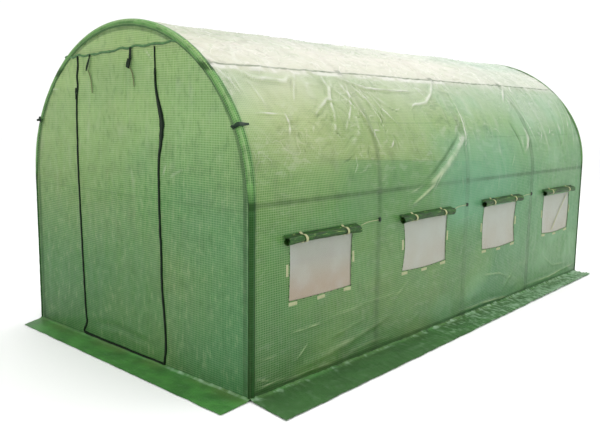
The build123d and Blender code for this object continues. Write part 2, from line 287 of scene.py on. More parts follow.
def section(length):
    # x, z and outward direction of the tunnel's skin, by the length up from the right foot to the ridge
    length = np.asarray(length, float)
    bend = np.clip((length - springHeight) / tunnel["shoulderRadius"], 0, tunnel["shoulderTurn"])
    arc = tunnel["shoulderTurn"] + np.maximum(length - shoulderTop, 0) / crownRadius
    high = length > shoulderTop
    turn = np.where(high, arc, bend)
    x = np.where(high, crownRadius * np.cos(arc), shoulderX + tunnel["shoulderRadius"] * np.cos(bend))
    z = np.where(high, crownZ + crownRadius * np.sin(arc),
                 np.minimum(length, springHeight) + tunnel["shoulderRadius"] * np.sin(bend))
    return x, z, np.cos(turn), np.sin(turn)


lengthTable = np.linspace(0, ridgeLength, 800)
sideTable, heightTable = section(lengthTable)[:2]


def lengthAt(height):
    return np.interp(height, heightTable, lengthTable)


def halfAt(height):
    # half width of the tunnel at a height
    return np.interp(height, heightTable, sideTable)


def overArch(low, step):
    # right foot over the ridge to the left foot: run, side, x, z, outward direction
    run = spaced([low, max(low + 0.001, springHeight), ridgeLength], step)
    run = np.concatenate([run, 2 * ridgeLength - run[-2::-1]])
    x, z, outX, outZ = section(np.minimum(run, 2 * ridgeLength - run))
    return run, np.where(run > ridgeLength, -1, 1), x, z, outX, outZ


# mesh helpers


def join(*parts):
    # x, y and z, or other columns, that spread over each other
    return np.stack(np.broadcast_arrays(*parts), -1).astype(float)


def ripple(u, v, cellU, cellV, seed):
    # smooth seeded waves, about -1 to 1
    turns = np.random.default_rng(seed).uniform(0, 2 * np.pi, (64, 64))
    gridU, gridV = np.asarray(u) / cellU, np.asarray(v) / cellV
    wholeU, wholeV = np.floor(gridU).astype(int), np.floor(gridV).astype(int)
    restU, restV = gridU - wholeU, gridV - wholeV

    def soft(share):
        return share ** 3 * (share * (6 * share - 15) + 10)
    total = 0
    for stepU in (0, 1):
        for stepV in (0, 1):
            turn = turns[(wholeU + stepU) % 64, (wholeV + stepV) % 64]
            slope = np.cos(turn) * (restU - stepU) + np.sin(turn) * (restV - stepV)
            total = total + slope * soft(1 - abs(restU - stepU)) * soft(1 - abs(restV - stepV))
    return total * 1.5


def ease(value, low, high):
    share = np.clip((np.asarray(value) - low) / (high - low), 0, 1)
    return share * share * (3 - 2 * share)


def spaced(keys, step):
    # places from key to key, no further apart than a step
    places = [keys[0]]
    for near, far in zip(keys, keys[1:]):
        count = max(1, math.ceil((far - near) / step - 1e-6))
        places += [near + (far - near) * i / count for i in range(1, count + 1)]
    return np.array(places)


def smoothPath(points, step=0.01):
    # an even line through given points
    points = np.array(points, float)
    ends = np.vstack([2 * points[0] - points[1], points, 2 * points[-1] - points[-2]])
    line = []
    for i in range(1, len(ends) - 2):
        before, here, after, beyond = ends[i - 1:i + 3]
        count = max(2, int(np.linalg.norm(after - here) / step))
        t = np.linspace(0, 1, count, endpoint=False)[:, None]
        line.append(0.5 * (2 * here + (after - before) * t + (2 * before - 5 * here + 4 * after - beyond) * t ** 2
                           + (3 * here - before - 3 * after + beyond) * t ** 3))
    return np.vstack(line + [points[-1:]])


def foldHeight(u, v, folds):
    # folds are drawn lines with a rise and a width; gives the relief and how sharply it is creased, a value the
    # materials paint as highlight and shade
    height, crease = np.zeros(u.shape), np.zeros(u.shape)
    for points, rise, width in folds:
        points = np.array(points, float)
        runs = np.hypot(*np.diff(points, axis=0).T)
        nearest, along, done = np.full(u.shape, 9.0), np.zeros(u.shape), 0.0
        for start, (goU, goV), run in zip(points, np.diff(points, axis=0), runs):
            awayU, awayV = u - start[0], v - start[1]
            share = np.clip((awayU * goU + awayV * goV) / run ** 2, 0, 1)
            away = np.hypot(awayU - share * goU, awayV - share * goV)
            along = np.where(away < nearest, (done + share * run) / runs.sum(), along)
            nearest = np.minimum(nearest, away)
            done += run
        apart = nearest / width
        taper = np.sin(np.pi * np.clip(along, 0.03, 0.97)) ** 0.7
        height += rise * taper * np.exp(-apart ** 2) * (1 - 0.8 * apart ** 2)
        # a painted highlight on the ridge with painted shade at its foot on both sides, or the other way round in a dip
        ridge = np.exp(-(apart * 1.5) ** 2) - 0.45 * np.exp(-((apart - 1.2) * 1.8) ** 2)
        crease += rise * 1.6 / width * taper * ridge
    return height, np.clip(crease, -1, 1)


class Piece:
    # gathers grids of points into one mesh
    def __init__(self, name):
        self.name = name
        self.points, self.faces, self.cut, self.crease = [], [], [], []
        self.count = 0

    def grid(self, points, cut=None, crease=0.0, keep=None, closed=False, flip=False):
        # closed wraps the columns round and caps both ends
        rows, columns = points.shape[:2]
        index = self.count + np.arange(rows * columns).reshape(rows, columns)
        if closed:
            index = np.hstack([index, index[:, :1]])
        quads = np.stack([index[:-1, :-1], index[1:, :-1], index[1:, 1:], index[:-1, 1:]], -1)
        if keep is not None:
            quads = quads[keep]
        quads = quads.reshape(-1, 4)
        self.faces += (quads[:, ::-1] if flip else quads).tolist()
        if closed:
            first, last = index[0, :columns].tolist(), index[-1, :columns].tolist()
            self.faces += [first[::-1], last] if flip else [first, last[::-1]]
        self.points.append(points.reshape(-1, 3))
        if cut is None:
            run, over = (np.concatenate([[0], np.cumsum(np.linalg.norm(np.diff(line, axis=0), axis=1))])
                         for line in (points[:, 0], points[0]))
            cut = join(run[:, None], over, 1)
        self.cut.append(np.asarray(cut, float).reshape(-1, 3))
        self.crease.append(np.broadcast_to(crease, (rows, columns)).ravel())
        self.count += rows * columns

    def rod(self, path, profile, side, flip=False):
        self.grid(sweep(path, profile, side), closed=True, flip=flip)

    def make(self, material, slotName, nodes=(), sharp=40):
        mesh = bpy.data.meshes.new(self.name)
        mesh.from_pydata(np.vstack(self.points).tolist(), [], self.faces)
        cut = mesh.attributes.new("cut", "FLOAT_VECTOR", "POINT")
        cut.data.foreach_set("vector", np.vstack(self.cut).astype(np.float32).ravel())
        crease = mesh.attributes.new("foldLine", "FLOAT", "POINT")
        crease.data.foreach_set("value", np.concatenate(self.crease).astype(np.float32))
        mesh.materials.append(material)
        mesh.shade_smooth()
        mesh.set_sharp_from_angle(angle=math.radians(sharp))
        mesh.update()
        made = bpy.data.objects.new(self.name, mesh)
        bpy.context.scene.collection.objects.link(made)
        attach(made, "root")
        if nodes:
            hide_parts(*nodes)
        return made


def sweep(path, profile, side):
    # a profile of (across, along side) carried down a path; the profile may change from point to point
    path, profile = np.array(path, float), np.array(profile, float)
    side = np.array(side, float) / np.linalg.norm(side)
    across = np.cross(np.gradient(path, axis=0), side)
    across /= np.linalg.norm(across, axis=1)[:, None]
    if profile.ndim == 2:
        profile = np.repeat(profile[None], len(path), 0)
    return path[:, None] + across[:, None] * profile[..., :1] + side * profile[..., 1:]


def circle(radius, sides=20):
    turn = np.linspace(0, 2 * np.pi, sides, endpoint=False)
    return join(radius * np.cos(turn), radius * np.sin(turn))


def scaled(shape, across, along):
    # a profile that changes size along its path
    return np.asarray(shape) * join(across, along)[:, None]


def flatArea(points):
    # area of a grid of points, cell by cell
    one = np.cross(points[1:, :-1] - points[:-1, :-1], points[:-1, 1:] - points[:-1, :-1])
    two = np.cross(points[:-1, 1:] - points[1:, 1:], points[1:, :-1] - points[1:, 1:])
    return (np.linalg.norm(one, axis=-1) + np.linalg.norm(two, axis=-1)) / 2


# film
filmLook = {
    "threadHalf": 0.0021, "threadShare": 0.34,
    "low": (8, 84, 16), "middle": (34, 122, 36), "high": (160, 186, 122), "top": (238, 234, 224),
    "yellow": (150, 160, 80), "blue": (58, 130, 84), "contact": (22, 56, 18), "stress": (206, 222, 170),
    "glare": (244, 242, 232), "far": (116, 176, 148), "warm": (222, 210, 160), "leaf": (92, 142, 70),
    "pool": (58, 126, 84), "mist": (150, 196, 158), "moss": (126, 162, 84), "glint": (252, 250, 244),
    "hollow": (158, 188, 140), "blush": (255, 238, 230),
    "glow": (70, 156, 56), "glowShare": 0.3, "clear": 0.06, "roughness": 0.36, "coat": 0.18,
    # how dark each arch's painted shade through the film is, front to rear
    "archShow": [0.5, 0.35, 0.32, 0.75, 0.4],
}
gableFilmLook = dict(
    filmLook, low=(18, 84, 20), middle=(56, 138, 56), high=(154, 200, 124), top=(168, 214, 134),
    cool=(76, 150, 106), sunny=(196, 190, 116), deep=(16, 112, 48), threadShare=0.46, coat=0.04)


def tunnelPaint(g, height, patchy, threads, u, v, inward):
    # what only the tunnel's film shows; gives the painted shade of the frame behind it, together with the film's darker
    # seams
    rearward = g.split(g.place)[1]
    drift = g.node("ShaderNodeTexNoise", {}, {"Vector": g.place, "Scale": 6.0, "Detail": 2.0}, 1)
    bent = g.node("ShaderNodeVectorMath", {"operation": "MULTIPLY_ADD"},
                  {0: drift, 1: (0.12, 0.12, 0.12), 2: g.place})
    # thin bent crumple lines, only here and there: painted shade in their dips and painted highlight on their rims
    long = g.noise(7.0, 1.0, 0.5, (1.0, 1.0, 0.45), bent)
    short = g.noise(15.0, 1.0, 0.5, (1.0, 0.5, 1.1), bent)
    tiny = g.noise(27.0, 1.0, 0.5, (1.0, 0.8, 0.7), bent)
    where = g.rise(g.noise(3.1, 2.0), 0.4, 0.58) * (0.14 + g.rise(height, 1.0, 1.45) * 0.86)
    where = where * g.rise(patchy, 0.34, 0.56)
    dips = g.larger(g.near(long, 0.524, 0, 0.018), g.near(short, 0.53, 0, 0.022) * 0.8)
    rims = g.larger(
        g.near(long, 0.5, 0, 0.012), g.near(short, 0.5, 0, 0.016) * 0.8, g.near(tiny, 0.5, 0, 0.02) * 0.6)
    g.coat(dips * where * 0.34, "contact")
    g.coat(rims * where * 0.46, "glare")
    # short fine wrinkles: painted highlight and painted shade
    fine = g.noise(30.0, 2.0, 0.55, (1.0, 0.3, 1.0), bent)
    where = g.rise(g.noise(1.9, 2.0), 0.38, 0.58) * (0.3 + g.rise(height, 0.8, 1.4) * 0.7)
    g.coat(g.rise(fine, 0.54, 0.68) * where * 0.2, "glare")
    g.coat(g.fall(fine, 0.34, 0.46) * where * 0.22, "contact")
    # painted light on single stretches: a warm tint on the front shoulder, a painted glare high in the rear bay, and a
    # paler painted sheen that grows toward the rear
    g.coat(g.near(rearward, -1.2, 0.4, 0.5) * g.near(height, 1.35, 0.12, 0.2) * 0.2, "warm")
    g.coat(g.near(rearward, 1.35, 0.2, 0.45) * g.near(height, 1.42, 0.04, 0.16) * 0.28, "glare")
    g.coat(g.rise(rearward, -1.0, 1.5) * g.fall(height, 1.5, 1.75) * 0.36, "far")
    g.coat(g.rise(rearward, 0.2, 1.4) * g.rise(height, 1.55, 1.7) * 0.42, "far")
    # the film is greener behind the second arch, and cooler below a sloping seam there
    g.coat(g.near(rearward, -0.95, 0.2, 0.35) * g.near(height, 1.4, 0.16, 0.1) * 0.24, "leaf")
    slope, seamLength = v + u * 0.045, lengthAt(1.12) - 0.045
    below = g.rise(u, -1.44, -1.18) * g.fall(u, 0.0, 0.5) * g.fall(slope, seamLength - 0.004, seamLength)
    g.coat(below * g.rise(v, 0.4, 0.95) * 0.3, "pool")
    # a bluish painted sheen in patches toward the rear, below the roof
    sheenPatches = g.rise(g.noise(2.6, 2.0, 0.5, (1.0, 1.0, 1.4)), 0.47, 0.66) * g.rise(rearward, -0.8, 0.3)
    g.coat(sheenPatches * g.fall(height, 1.45, 1.7) * 0.3, "mist")
    mossy = g.rise(g.noise(2.1, 2.0, 0.5, (1.0, 0.8, 1.2)), 0.52, 0.7) * g.fall(height, 0.3, 0.9)
    g.coat(g.larger(mossy, g.rise(u, 0.8, 1.3) * g.fall(height, 0.25, 0.6)) * 0.26, "moss")
    g.coat(g.near(rearward, 0.2, 0.3, 0.4) * g.near(height, 0.95, 0.2, 0.2) * 0.4, "far")
    # the roof is brightly lit, so its crumples stand out: painted highlights on them and painted shade in their hollows
    roofy = g.rise(height, 1.52, 1.66)
    crushed = g.noise(17.0, 3.0, 0.6, (1.0, 0.55, 1.0), bent)
    g.coat(g.rise(crushed, 0.48, 0.64) * roofy * 0.18, "glint")
    g.coat(g.fall(crushed, 0.34, 0.5) * roofy * 0.16, "hollow")
    wrinkled = g.noise(11.0, 1.5, 0.5, (1.0, 0.55, 1.0), bent)
    g.coat(g.near(wrinkled, 0.545, 0, 0.024) * roofy * 0.46, "hollow")
    g.coat(g.near(wrinkled, 0.515, 0, 0.02) * roofy * 0.5, "glint")
    # a pink painted glare along the roof band above the upper purlin
    g.coat(g.near(height, 1.675, 0.045, 0.07) * 0.34, "blush")
    # a painted highlight just under the upper purlin, where the film is pulled taut
    pulled = g.near(v, upperLength - 0.024, 0.006, 0.016) * g.rise(patchy, 0.38, 0.58) * g.fall(u, -0.2, 0.6)
    g.coat(pulled * 0.55, "glint")
    # painted shade where the arches, purlins and rails press against the film from inside; the film is sewn down on
    # both sides of the rear arches, and its sewn seams are darker lines of its own
    stops = [(0.1 + 0.2 * i, (show, show, show, 1.0)) for i, show in enumerate(g.look["archShow"])]
    shows = g.ramp((u - archRows[0] + pitch / 2) / (5 * pitch), stops)
    row = g.node("ShaderNodeMath", {"operation": "PINGPONG"}, {0: u - archRows[0], 1: pitch / 2})
    behind = g.rise(u, -0.6, -0.3)
    upright = g.larger(
        g.fall(row, 0.006, 0.03) * (1 - behind * 0.5), g.near(row, 0.021, 0.001, 0.006) * behind * 0.9)
    upright = upright * (1 - g.rise(v, upperLength - 0.5, upperLength) * 0.8) * shows
    waist = g.near(v, waistHeight, 0.005, 0.014) * (0.44 - g.near(u, -0.25, 0.25, 0.3) * 0.26)
    upper = g.near(v, upperLength - 0.004, 0.002, 0.008) * 0.7
    rail = g.near(v, 0.022, 0.009, 0.014) * 0.6
    seams = g.larger(
        g.near(slope, seamLength, 0.001, 0.003) * g.near(u, -0.8, 0.4, 0.3),
        g.near(v, lengthAt(1.33), 0.001, 0.003) * g.near(u, -0.7, 0.35, 0.25),
        g.near(v, lengthAt(1.23), 0.001, 0.004) * g.rise(u, 0.0, 0.4)) * 0.28
    foot = g.fall(row, 0.01, 0.06) * g.fall(v, 0.015, 0.07) * shows * 1.6
    crossing = g.larger(g.near(v, upperLength, 0.012, 0.02), g.near(v, waistHeight, 0.01, 0.02))
    return g.larger(upright, waist, foot, g.fall(row, 0.014, 0.035) * crossing * 0.6, upper, rail, seams)


def gablePaint(g, height, patchy, threads, u, v, inward):
    # painted cool light on the right foot, painted warm light on the upper left and painted shade low down; the gable
    # arch shows through as a band of painted shade along the outline
    g.coat(g.rise(u, 0.2, 0.95) * g.fall(height, 0.7, 1.35) * 0.4, "cool")
    g.coat(g.fall(u, -0.5, 0.5) * g.rise(height, 0.4, 1.0) * 0.16, "sunny")
    g.coat(g.fall(height, 0.3, 0.9) * (0.4 - g.rise(u, 0.25, 0.4) * 0.26), "deep")
    g.coat((1 - threads) * (0.08 + g.rise(u, 0.25, 0.4) * 0.08), "contact")
    # fine wrinkles: painted highlight and painted shade
    fine = g.noise(34.0, 3.0, 0.6, (1.0, 1.0, 0.45))
    g.coat(g.rise(fine, 0.52, 0.7) * 0.16, "stress")
    g.coat(g.fall(fine, 0.34, 0.47) * 0.22, "contact")
    return g.larger(g.near(inward, 0.042, 0.008, 0.01) * 0.6, g.near(v, waistHeight - 0.03, 0.003, 0.008) * 0.14)


def filmMaterial(name, look, paint):
    g = Graph(name, look)
    height = g.split(g.place)[2]
    u, v, inward = g.sewn()
    crease = g.attribute("foldLine", "Fac")
    # colour by height: darker and more saturated toward the ground as painted shade, paler up high and near white on
    # the tunnel's roof as painted sheen
    g.colour = g.ramp(height / topHeight, [(0.0, "low"), (0.48, "middle"), (0.72, "high"), (0.93, "top")])
    g.coat(g.rise(g.noise(0.9, 2.0), 0.42, 0.68) * 0.3, "yellow")
    g.coat(g.rise(g.noise(1.7, 2.0, 0.5, (1.0, 0.7, 1.6)), 0.5, 0.7) * 0.3, "blue")
    patchy = g.noise(9.0, 4.0, 0.6)
    g.coat(g.rise(patchy, 0.45, 0.75) * (0.35 - g.rise(height, 1.2, 1.7) * 0.28), "contact")
    threads = g.threads(u, v, look["threadHalf"], threadPitch)
    g.coat(threads * look["threadShare"], "stress")
    g.coat((1 - threads) * 0.16, "contact")
    # painted shade of the frame behind the film, with the film's own darker seams
    g.coat(paint(g, height, patchy, threads, u, v, inward) * (0.35 + patchy), "contact")
    # painted shade where the crease value is negative and painted highlight where it is positive, paler up high
    g.coat(g.rise(0 - crease, 0.05, 1.0) * 0.5, "contact")
    light = g.mix(g.rise(height, 0.8, 1.3), "stress", "glare")
    g.coat(g.rise(crease, 0.05, 0.95) * (0.25 + g.rise(patchy, 0.3, 0.66) * 0.5), light)
    relief = g.bump(threads * 0.5 + g.noise(46.0, 3.0, 0.62) * 0.9, 0.0011, 0.75)
    relief = g.bump(g.noise(16.0), 0.006, 0.7, relief)
    surface = g.surface(look["roughness"] + (patchy - 0.5) * 0.3, relief, {
        "IOR": 1.48, "Coat Weight": look["coat"], "Coat Roughness": 0.2, "Specular IOR Level": 0.36})
    glow = g.node("ShaderNodeBsdfTranslucent", {}, {"Color": g.named("glow")})
    return g.finish(g.blend(look["clear"], g.blend(look["glowShare"], surface, glow), g.clear()))


coverFilm = filmMaterial("coverFilm", filmLook, tunnelPaint)
gableFilm = filmMaterial("gableFilm", gableFilmLook, gablePaint)

# tunnel cover
window = {"width": 0.5, "height": 0.3, "sill": 0.442}
windowMiddle = window["sill"] + window["height"] / 2
windowTop = window["sill"] + window["height"]
# how far each window's front, rear and lower edges bow, front to rear
windowBows = [(0.003, -0.004, -0.004), (0.022, -0.006, -0.01), (-0.012, -0.02, -0.012), (-0.01, 0.012, -0.014)]
drape = {
    "roofSag": 0.018, "shoulderSag": 0.022, "wallSag": 0.006, "pleat": 0.0022, "crumple": 0.0016, "wave": 0.0035,
    "net": 0.0045, "most": 0.01, "least": -0.035, "mesh": {1: 0.0104, -1: 0.0125},
}
# drawn lines of (y, height), rise and width: the folds that the photograph shows
seenFolds = [
    ([(-1.975, 1.6), (-1.92, 1.53), (-1.88, 1.45)], 0.006, 0.014),
    ([(-1.88, 1.57), (-1.86, 1.44)], 0.003, 0.012),
    ([(-1.79, 1.54), (-1.75, 1.42)], 0.004, 0.012),
    ([(-1.86, 1.59), (-1.72, 1.545), (-1.52, 1.54), (-1.4, 1.585)], 0.01, 0.022),
    ([(-1.39, 1.595), (-1.48, 1.5), (-1.53, 1.43)], 0.006, 0.014),
    ([(-1.19, 1.6), (-1.19, 1.52), (-1.24, 1.43), (-1.27, 1.33), (-1.35, 1.23)], 0.009, 0.018),
    ([(-1.11, 1.595), (-0.95, 1.545), (-0.86, 1.525), (-0.54, 1.52)], 0.009, 0.015),
    ([(-1.15, 1.52), (-1.05, 1.4), (-0.98, 1.33)], 0.006, 0.012),
    ([(-1.08, 1.355), (-1.11, 1.27), (-1.28, 1.15)], 0.006, 0.02),
    ([(-1.5, 1.35), (-1.7, 1.31), (-1.8, 1.26)], -0.004, 0.02),
    ([(-1.88, 1.377), (-1.59, 1.37)], 0.004, 0.008),
    ([(0.05, 1.36), (0.03, 1.25), (-0.12, 1.15), (-0.25, 1.06), (-0.45, 0.95), (-0.62, 0.85)], 0.016, 0.036),
    ([(0.02, 1.36), (-0.07, 1.23), (-0.22, 1.13), (-0.38, 1.03), (-0.6, 0.93)], -0.008, 0.022),
    ([(0.77, 1.34), (0.84, 1.2), (0.86, 1.08)], -0.012, 0.02),
    ([(0.95, 1.3), (0.97, 1.21), (0.89, 1.1)], 0.012, 0.024),
    ([(0.00, 1.6), (-0.15, 1.51), (-0.27, 1.455), (-0.46, 1.44)], 0.011, 0.017),
    ([(1.04, 1.6), (0.91, 1.53), (0.83, 1.465)], 0.009, 0.016),
    ([(-0.65, 1.52), (-0.33, 1.525)], 0.007, 0.013),
    ([(-0.05, 1.53), (-0.09, 1.4), (-0.11, 1.27)], -0.008, 0.03),
    ([(0.3, 1.632), (0.42, 1.64), (0.56, 1.638)], 0.006, 0.012),
    ([(1.3, 1.47), (1.33, 1.2), (1.3, 1.00)], 0.005, 0.03),
    ([(1.62, 1.42), (1.6, 1.15), (1.66, 0.95)], -0.005, 0.026),
    ([(0.52, 1.3), (0.5, 1.1), (0.55, 0.92)], 0.005, 0.024),
    ([(-1.6, 0.27), (-1.1, 0.32), (-0.6, 0.32)], 0.004, 0.022),
    ([(-0.15, 0.68), (0.14, 0.71)], 0.003, 0.014),
    ([(0.8, 0.25), (0.62, 0.12), (0.6, 0.05)], 0.004, 0.018),
    ([(-1.725, 0.276), (-1.604, 0.277)], 0.004, 0.008),
    ([(-1.677, 0.127), (-1.579, 0.199)], 0.004, 0.008),
    ([(-1.658, 0.27), (-1.478, 0.285)], 0.004, 0.008),
    ([(-1.968, 0.101), (-1.851, 0.064)], 0.004, 0.009),
    ([(-1.96, 0.048), (-1.82, 0.06), (-1.721, 0.056)], 0.005, 0.009),
    ([(-1.921, 0.184), (-1.782, 0.195)], 0.002, 0.008),
    ([(-1.721, 0.059), (-1.406, 0.102), (-0.803, 0.203)], 0.007, 0.03),
    ([(-1.815, 0.033), (-1.568, 0.044), (-1.319, 0.035)], 0.005, 0.012),
    ([(-1.409, 0.181), (-1.101, 0.228)], 0.003, 0.016),
    ([(-1.3, 0.055), (-1.05, 0.075), (-0.8, 0.06)], 0.004, 0.014),
    ([(-0.09, 0.05), (0.32, 0.05), (0.83, 0.02)], 0.006, 0.014),
    ([(0.89, 0.06), (1.44, 0.06), (2.0, 0.1)], 0.006, 0.012),
    ([(0.81, 0.14), (0.53, 0.23), (0.23, 0.26)], 0.004, 0.012),
    ([(0.53, 0.23), (0.46, 0.32), (0.5, 0.45)], 0.003, 0.01),
    ([(1.21, 0.3), (1.48, 0.15), (1.85, 0.12)], 0.004, 0.014),
    ([(-0.08, 1.0), (-0.06, 0.9), (-0.09, 0.84)], 0.003, 0.01),
    ([(0.44, 0.99), (0.44, 0.85)], 0.003, 0.01),
    ([(-0.91, 0.24), (-0.66, 0.38), (-0.55, 0.46)], 0.003, 0.016),
    ([(-0.4, 0.95), (-0.52, 0.9), (-0.68, 0.83)], 0.008, 0.016),
    ([(-0.46, 0.99), (-0.6, 0.93), (-0.74, 0.9)], 0.005, 0.011),
    ([(-0.33, 1.01), (-0.4, 0.93), (-0.47, 0.87)], 0.005, 0.012),
]


def randomFolds(seed, count):
    # tension folds that run down and away from where the arches meet the upper purlin
    rng = np.random.default_rng(seed)
    folds = []
    for i in range(count):
        start = archRows[rng.integers(5)] + rng.uniform(-0.12, 0.12)
        lean, drop = rng.uniform(-0.35, 0.35), rng.uniform(0.15, 0.5)
        top = 1.595 - rng.uniform(0, 0.06)
        line = [(start, top), (start + lean * 0.4, top - drop * 0.5), (start + lean, top - drop)]
        folds.append((line, rng.uniform(0.003, 0.008), rng.uniform(0.01, 0.02)))
    return folds


def kinks(seed, count, rows=(-1.9, 1.9), lengths=(waistHeight + 0.08, ridgeLength - 0.05), ups=(1, 1, -1)):
    # short creases that lie every way, by default on the shoulder and the roof
    rng = np.random.default_rng(seed)
    folds = []
    for i in range(count):
        y, s, turn = rng.uniform(*rows), rng.uniform(*lengths), rng.uniform(0, math.pi)
        run, bend = rng.uniform(0.02, 0.07), rng.uniform(-0.6, 0.6)
        goY, goS = math.cos(turn) * run, math.sin(turn) * run
        line = [(y - goY, s - goS), (y + goS * bend, s - goY * bend), (y + goY, s + goS)]
        folds.append((line, rng.uniform(0.0025, 0.005) * rng.choice(ups), rng.uniform(0.007, 0.012)))
    return folds


def onSection(folds):
    return [([(y, float(lengthAt(z))) for y, z in points], rise, width) for points, rise, width in folds]


crushedSpot = kinks(9, 44, (-1.6, -0.65), (lengthAt(1.12), lengthAt(1.44)), (1, -1, -1))
coverFolds = {
    1: onSection(seenFolds + randomFolds(5, 18)) + kinks(7, 90) + crushedSpot,
    -1: onSection(randomFolds(11, 26)) + kinks(8, 60),
}


def coverDepth(y, s, side):
    # relief of the film over the arches and purlins, outward positive, and how creased it is, a value the film's
    # material paints as highlight and shade
    seed = 20 + side
    bay = np.clip((y - archRows[0]) / pitch, 0, 4 - 1e-9) % 1
    between = np.sin(np.pi * bay) ** 1.3

    def bowed(low, high):
        return np.sin(np.pi * np.clip((s - low) / (high - low), 0, 1))
    roofBow, shoulderBow = bowed(upperLength, ridgeLength) ** 0.8, bowed(waistHeight, upperLength) ** 0.8
    depth = (-drape["roofSag"] * roofBow - drape["shoulderSag"] * shoulderBow) * (0.25 + 0.75 * between)
    depth -= drape["wallSag"] * bowed(0, waistHeight) * between
    onWall = 1 - ease(s, waistHeight - 0.1, waistHeight + 0.3)
    onRoof = ease(s, upperLength - 0.25, upperLength + 0.05)
    depth += drape["pleat"] * ripple(y, s, 0.07, 0.6, seed) * (0.35 + 0.65 * ease(y, 0.2, 1.6))
    depth += drape["wave"] * ripple(y, s, 0.22, 0.3, seed + 1) * (1 - 0.5 * onWall)
    depth += drape["crumple"] * ripple(y, s, 0.045, 0.06, seed + 2)
    net = 1 - abs(ripple(y, s, 0.13, 0.1, seed + 3))
    depth += drape["net"] * net ** 6 * (0.25 + 0.75 * onRoof)
    height, crease = foldHeight(y, s, coverFolds[side])
    depth += height
    crease = crease + 0.55 * net ** 8 * onRoof
    # soft painted light streaks low on the walls, then painted highlight and shade blotches, then upright painted
    # streaks toward the rear
    streak = np.clip(ripple(y - 0.6 * s, s + 0.14 * y, 0.55, 0.05, seed + 4), 0, 1) ** 1.5
    crease = crease + streak * (0.1 + 0.25 * onWall * (1 - ease(s, 0.25, 0.6)))
    crease = crease + 0.35 * ripple(y, s, 0.1, 0.16, seed + 5) * (0.3 + 0.7 * (1 - onWall))
    upStreaks = ease(y, 0.0, 0.6) * ease(s, 0.55, 0.95) * (1 - ease(s, 1.4, 1.7))
    crease = crease + 0.24 * ripple(y, s, 0.05, 0.5, seed + 6) * upStreaks
    calm = ease(halfLength - abs(y), 0.0, 0.05) * ease(s, -0.01, 0.05)
    for middleY in bayMiddles:  # the film is flat round the windows
        apart = np.maximum(abs(y - middleY) - window["width"] / 2, abs(s - windowMiddle) - window["height"] / 2)
        calm = calm * (0.35 + 0.65 * ease(apart, 0.0, 0.1))
    # the frame holds the film up where it passes
    rowAway = abs((y - archRows[0] + pitch / 2) % pitch - pitch / 2)
    barAway = np.minimum.reduce([abs(s - waistHeight), abs(s - upperLength), abs(s - ridgeLength), s])
    held = 1 - ease(np.minimum(rowAway, barAway), 0.014, 0.045)
    nearRow, nearBar = 1 - ease(rowAway, 0.045, 0.075), 1 - ease(barAway, 0.045, 0.075)
    crossed = np.maximum(nearRow * (1 - ease(barAway, 0.02, 0.05)), nearBar * (1 - ease(rowAway, 0.02, 0.05)))
    lowest = drape["least"] + np.maximum(0.03 * held, 0.034 * crossed)
    return np.clip(depth * calm, lowest, drape["most"]), np.clip(crease * calm, -1, 1)


def coverWarp(y, s):
    # bows the window edges; gives the shifted y and length
    shiftY, shiftS = np.zeros(np.shape(y)), np.zeros(np.shape(y))
    for middleY, (frontBow, rearBow, lowBow) in zip(bayMiddles, windowBows):
        up = np.clip((s - window["sill"]) / window["height"], 0, 1)
        over = np.clip((y - middleY) / window["width"] + 0.5, 0, 1)
        for edge, bow in ((-0.5, frontBow), (0.5, rearBow)):
            atEdge = np.exp(-((y - middleY - edge * window["width"]) / 0.05) ** 2)
            shiftY = shiftY + bow * np.sin(np.pi * up) * atEdge
        shiftS = shiftS + lowBow * np.sin(np.pi * over) * np.exp(-((s - window["sill"]) / 0.05) ** 2)
    return y + shiftY, s + shiftS


def coverPoint(y, s, side=1, lift=0.0):
    # a point on the film, side 1 is the right wall and -1 the left
    movedY, movedS = coverWarp(*np.broadcast_arrays(np.asarray(y, float), np.asarray(s, float)))
    x, z, outX, outZ = section(movedS)
    depth = coverDepth(movedY, movedS, side)[0] + lift
    return join(side * (x + outX * depth), movedY, z + outZ * depth)


sideNames = {1: "Right", -1: "Left"}
windowEdges = [middleY + edge * window["width"] for middleY in bayMiddles for edge in (-0.5, 0.5)]
for side, sideName in sideNames.items():
    coverY = spaced([-halfLength + 0.006] + windowEdges + [halfLength - 0.006], drape["mesh"][side])
    coverS = spaced([0.004, window["sill"], windowTop, waistHeight, upperLength, ridgeLength], drape["mesh"][side])
    gridY, gridS = np.meshgrid(coverY, coverS, indexing="ij")
    centreY, centreS = ((grid[1:, 1:] + grid[:-1, :-1]) / 2 for grid in (gridY, gridS))
    keep = abs(centreS - windowMiddle) > window["height"] / 2
    keep |= np.all([abs(centreY - middleY) > window["width"] / 2 for middleY in bayMiddles], axis=0)
    points, crease = coverPoint(gridY, gridS, side), coverDepth(gridY, gridS, side)[1]
    piece = Piece("tunnelCover" + sideName)
    piece.grid(points, join(gridY, gridS, 1), crease, keep, flip=side < 0)
    lower = sideName.lower()
    nodes = [f"cover_shoulder_{lower}", f"cover_wall_{lower}"] + (["cover_roof"] if side > 0 else [])
    made = piece.make(coverFilm, "cover_film", nodes)
print("tunnel cover is draped")

# gables
gable = {
    "slack": 0.007, "pleat": 0.0022, "wave": 0.003, "crumple": 0.0012, "inset": 0.004, "edge": 0.004, "low": 0.006,
    "mesh": 0.0125, "most": 0.009, "least": -0.008, "topHalf": 0.585,
}
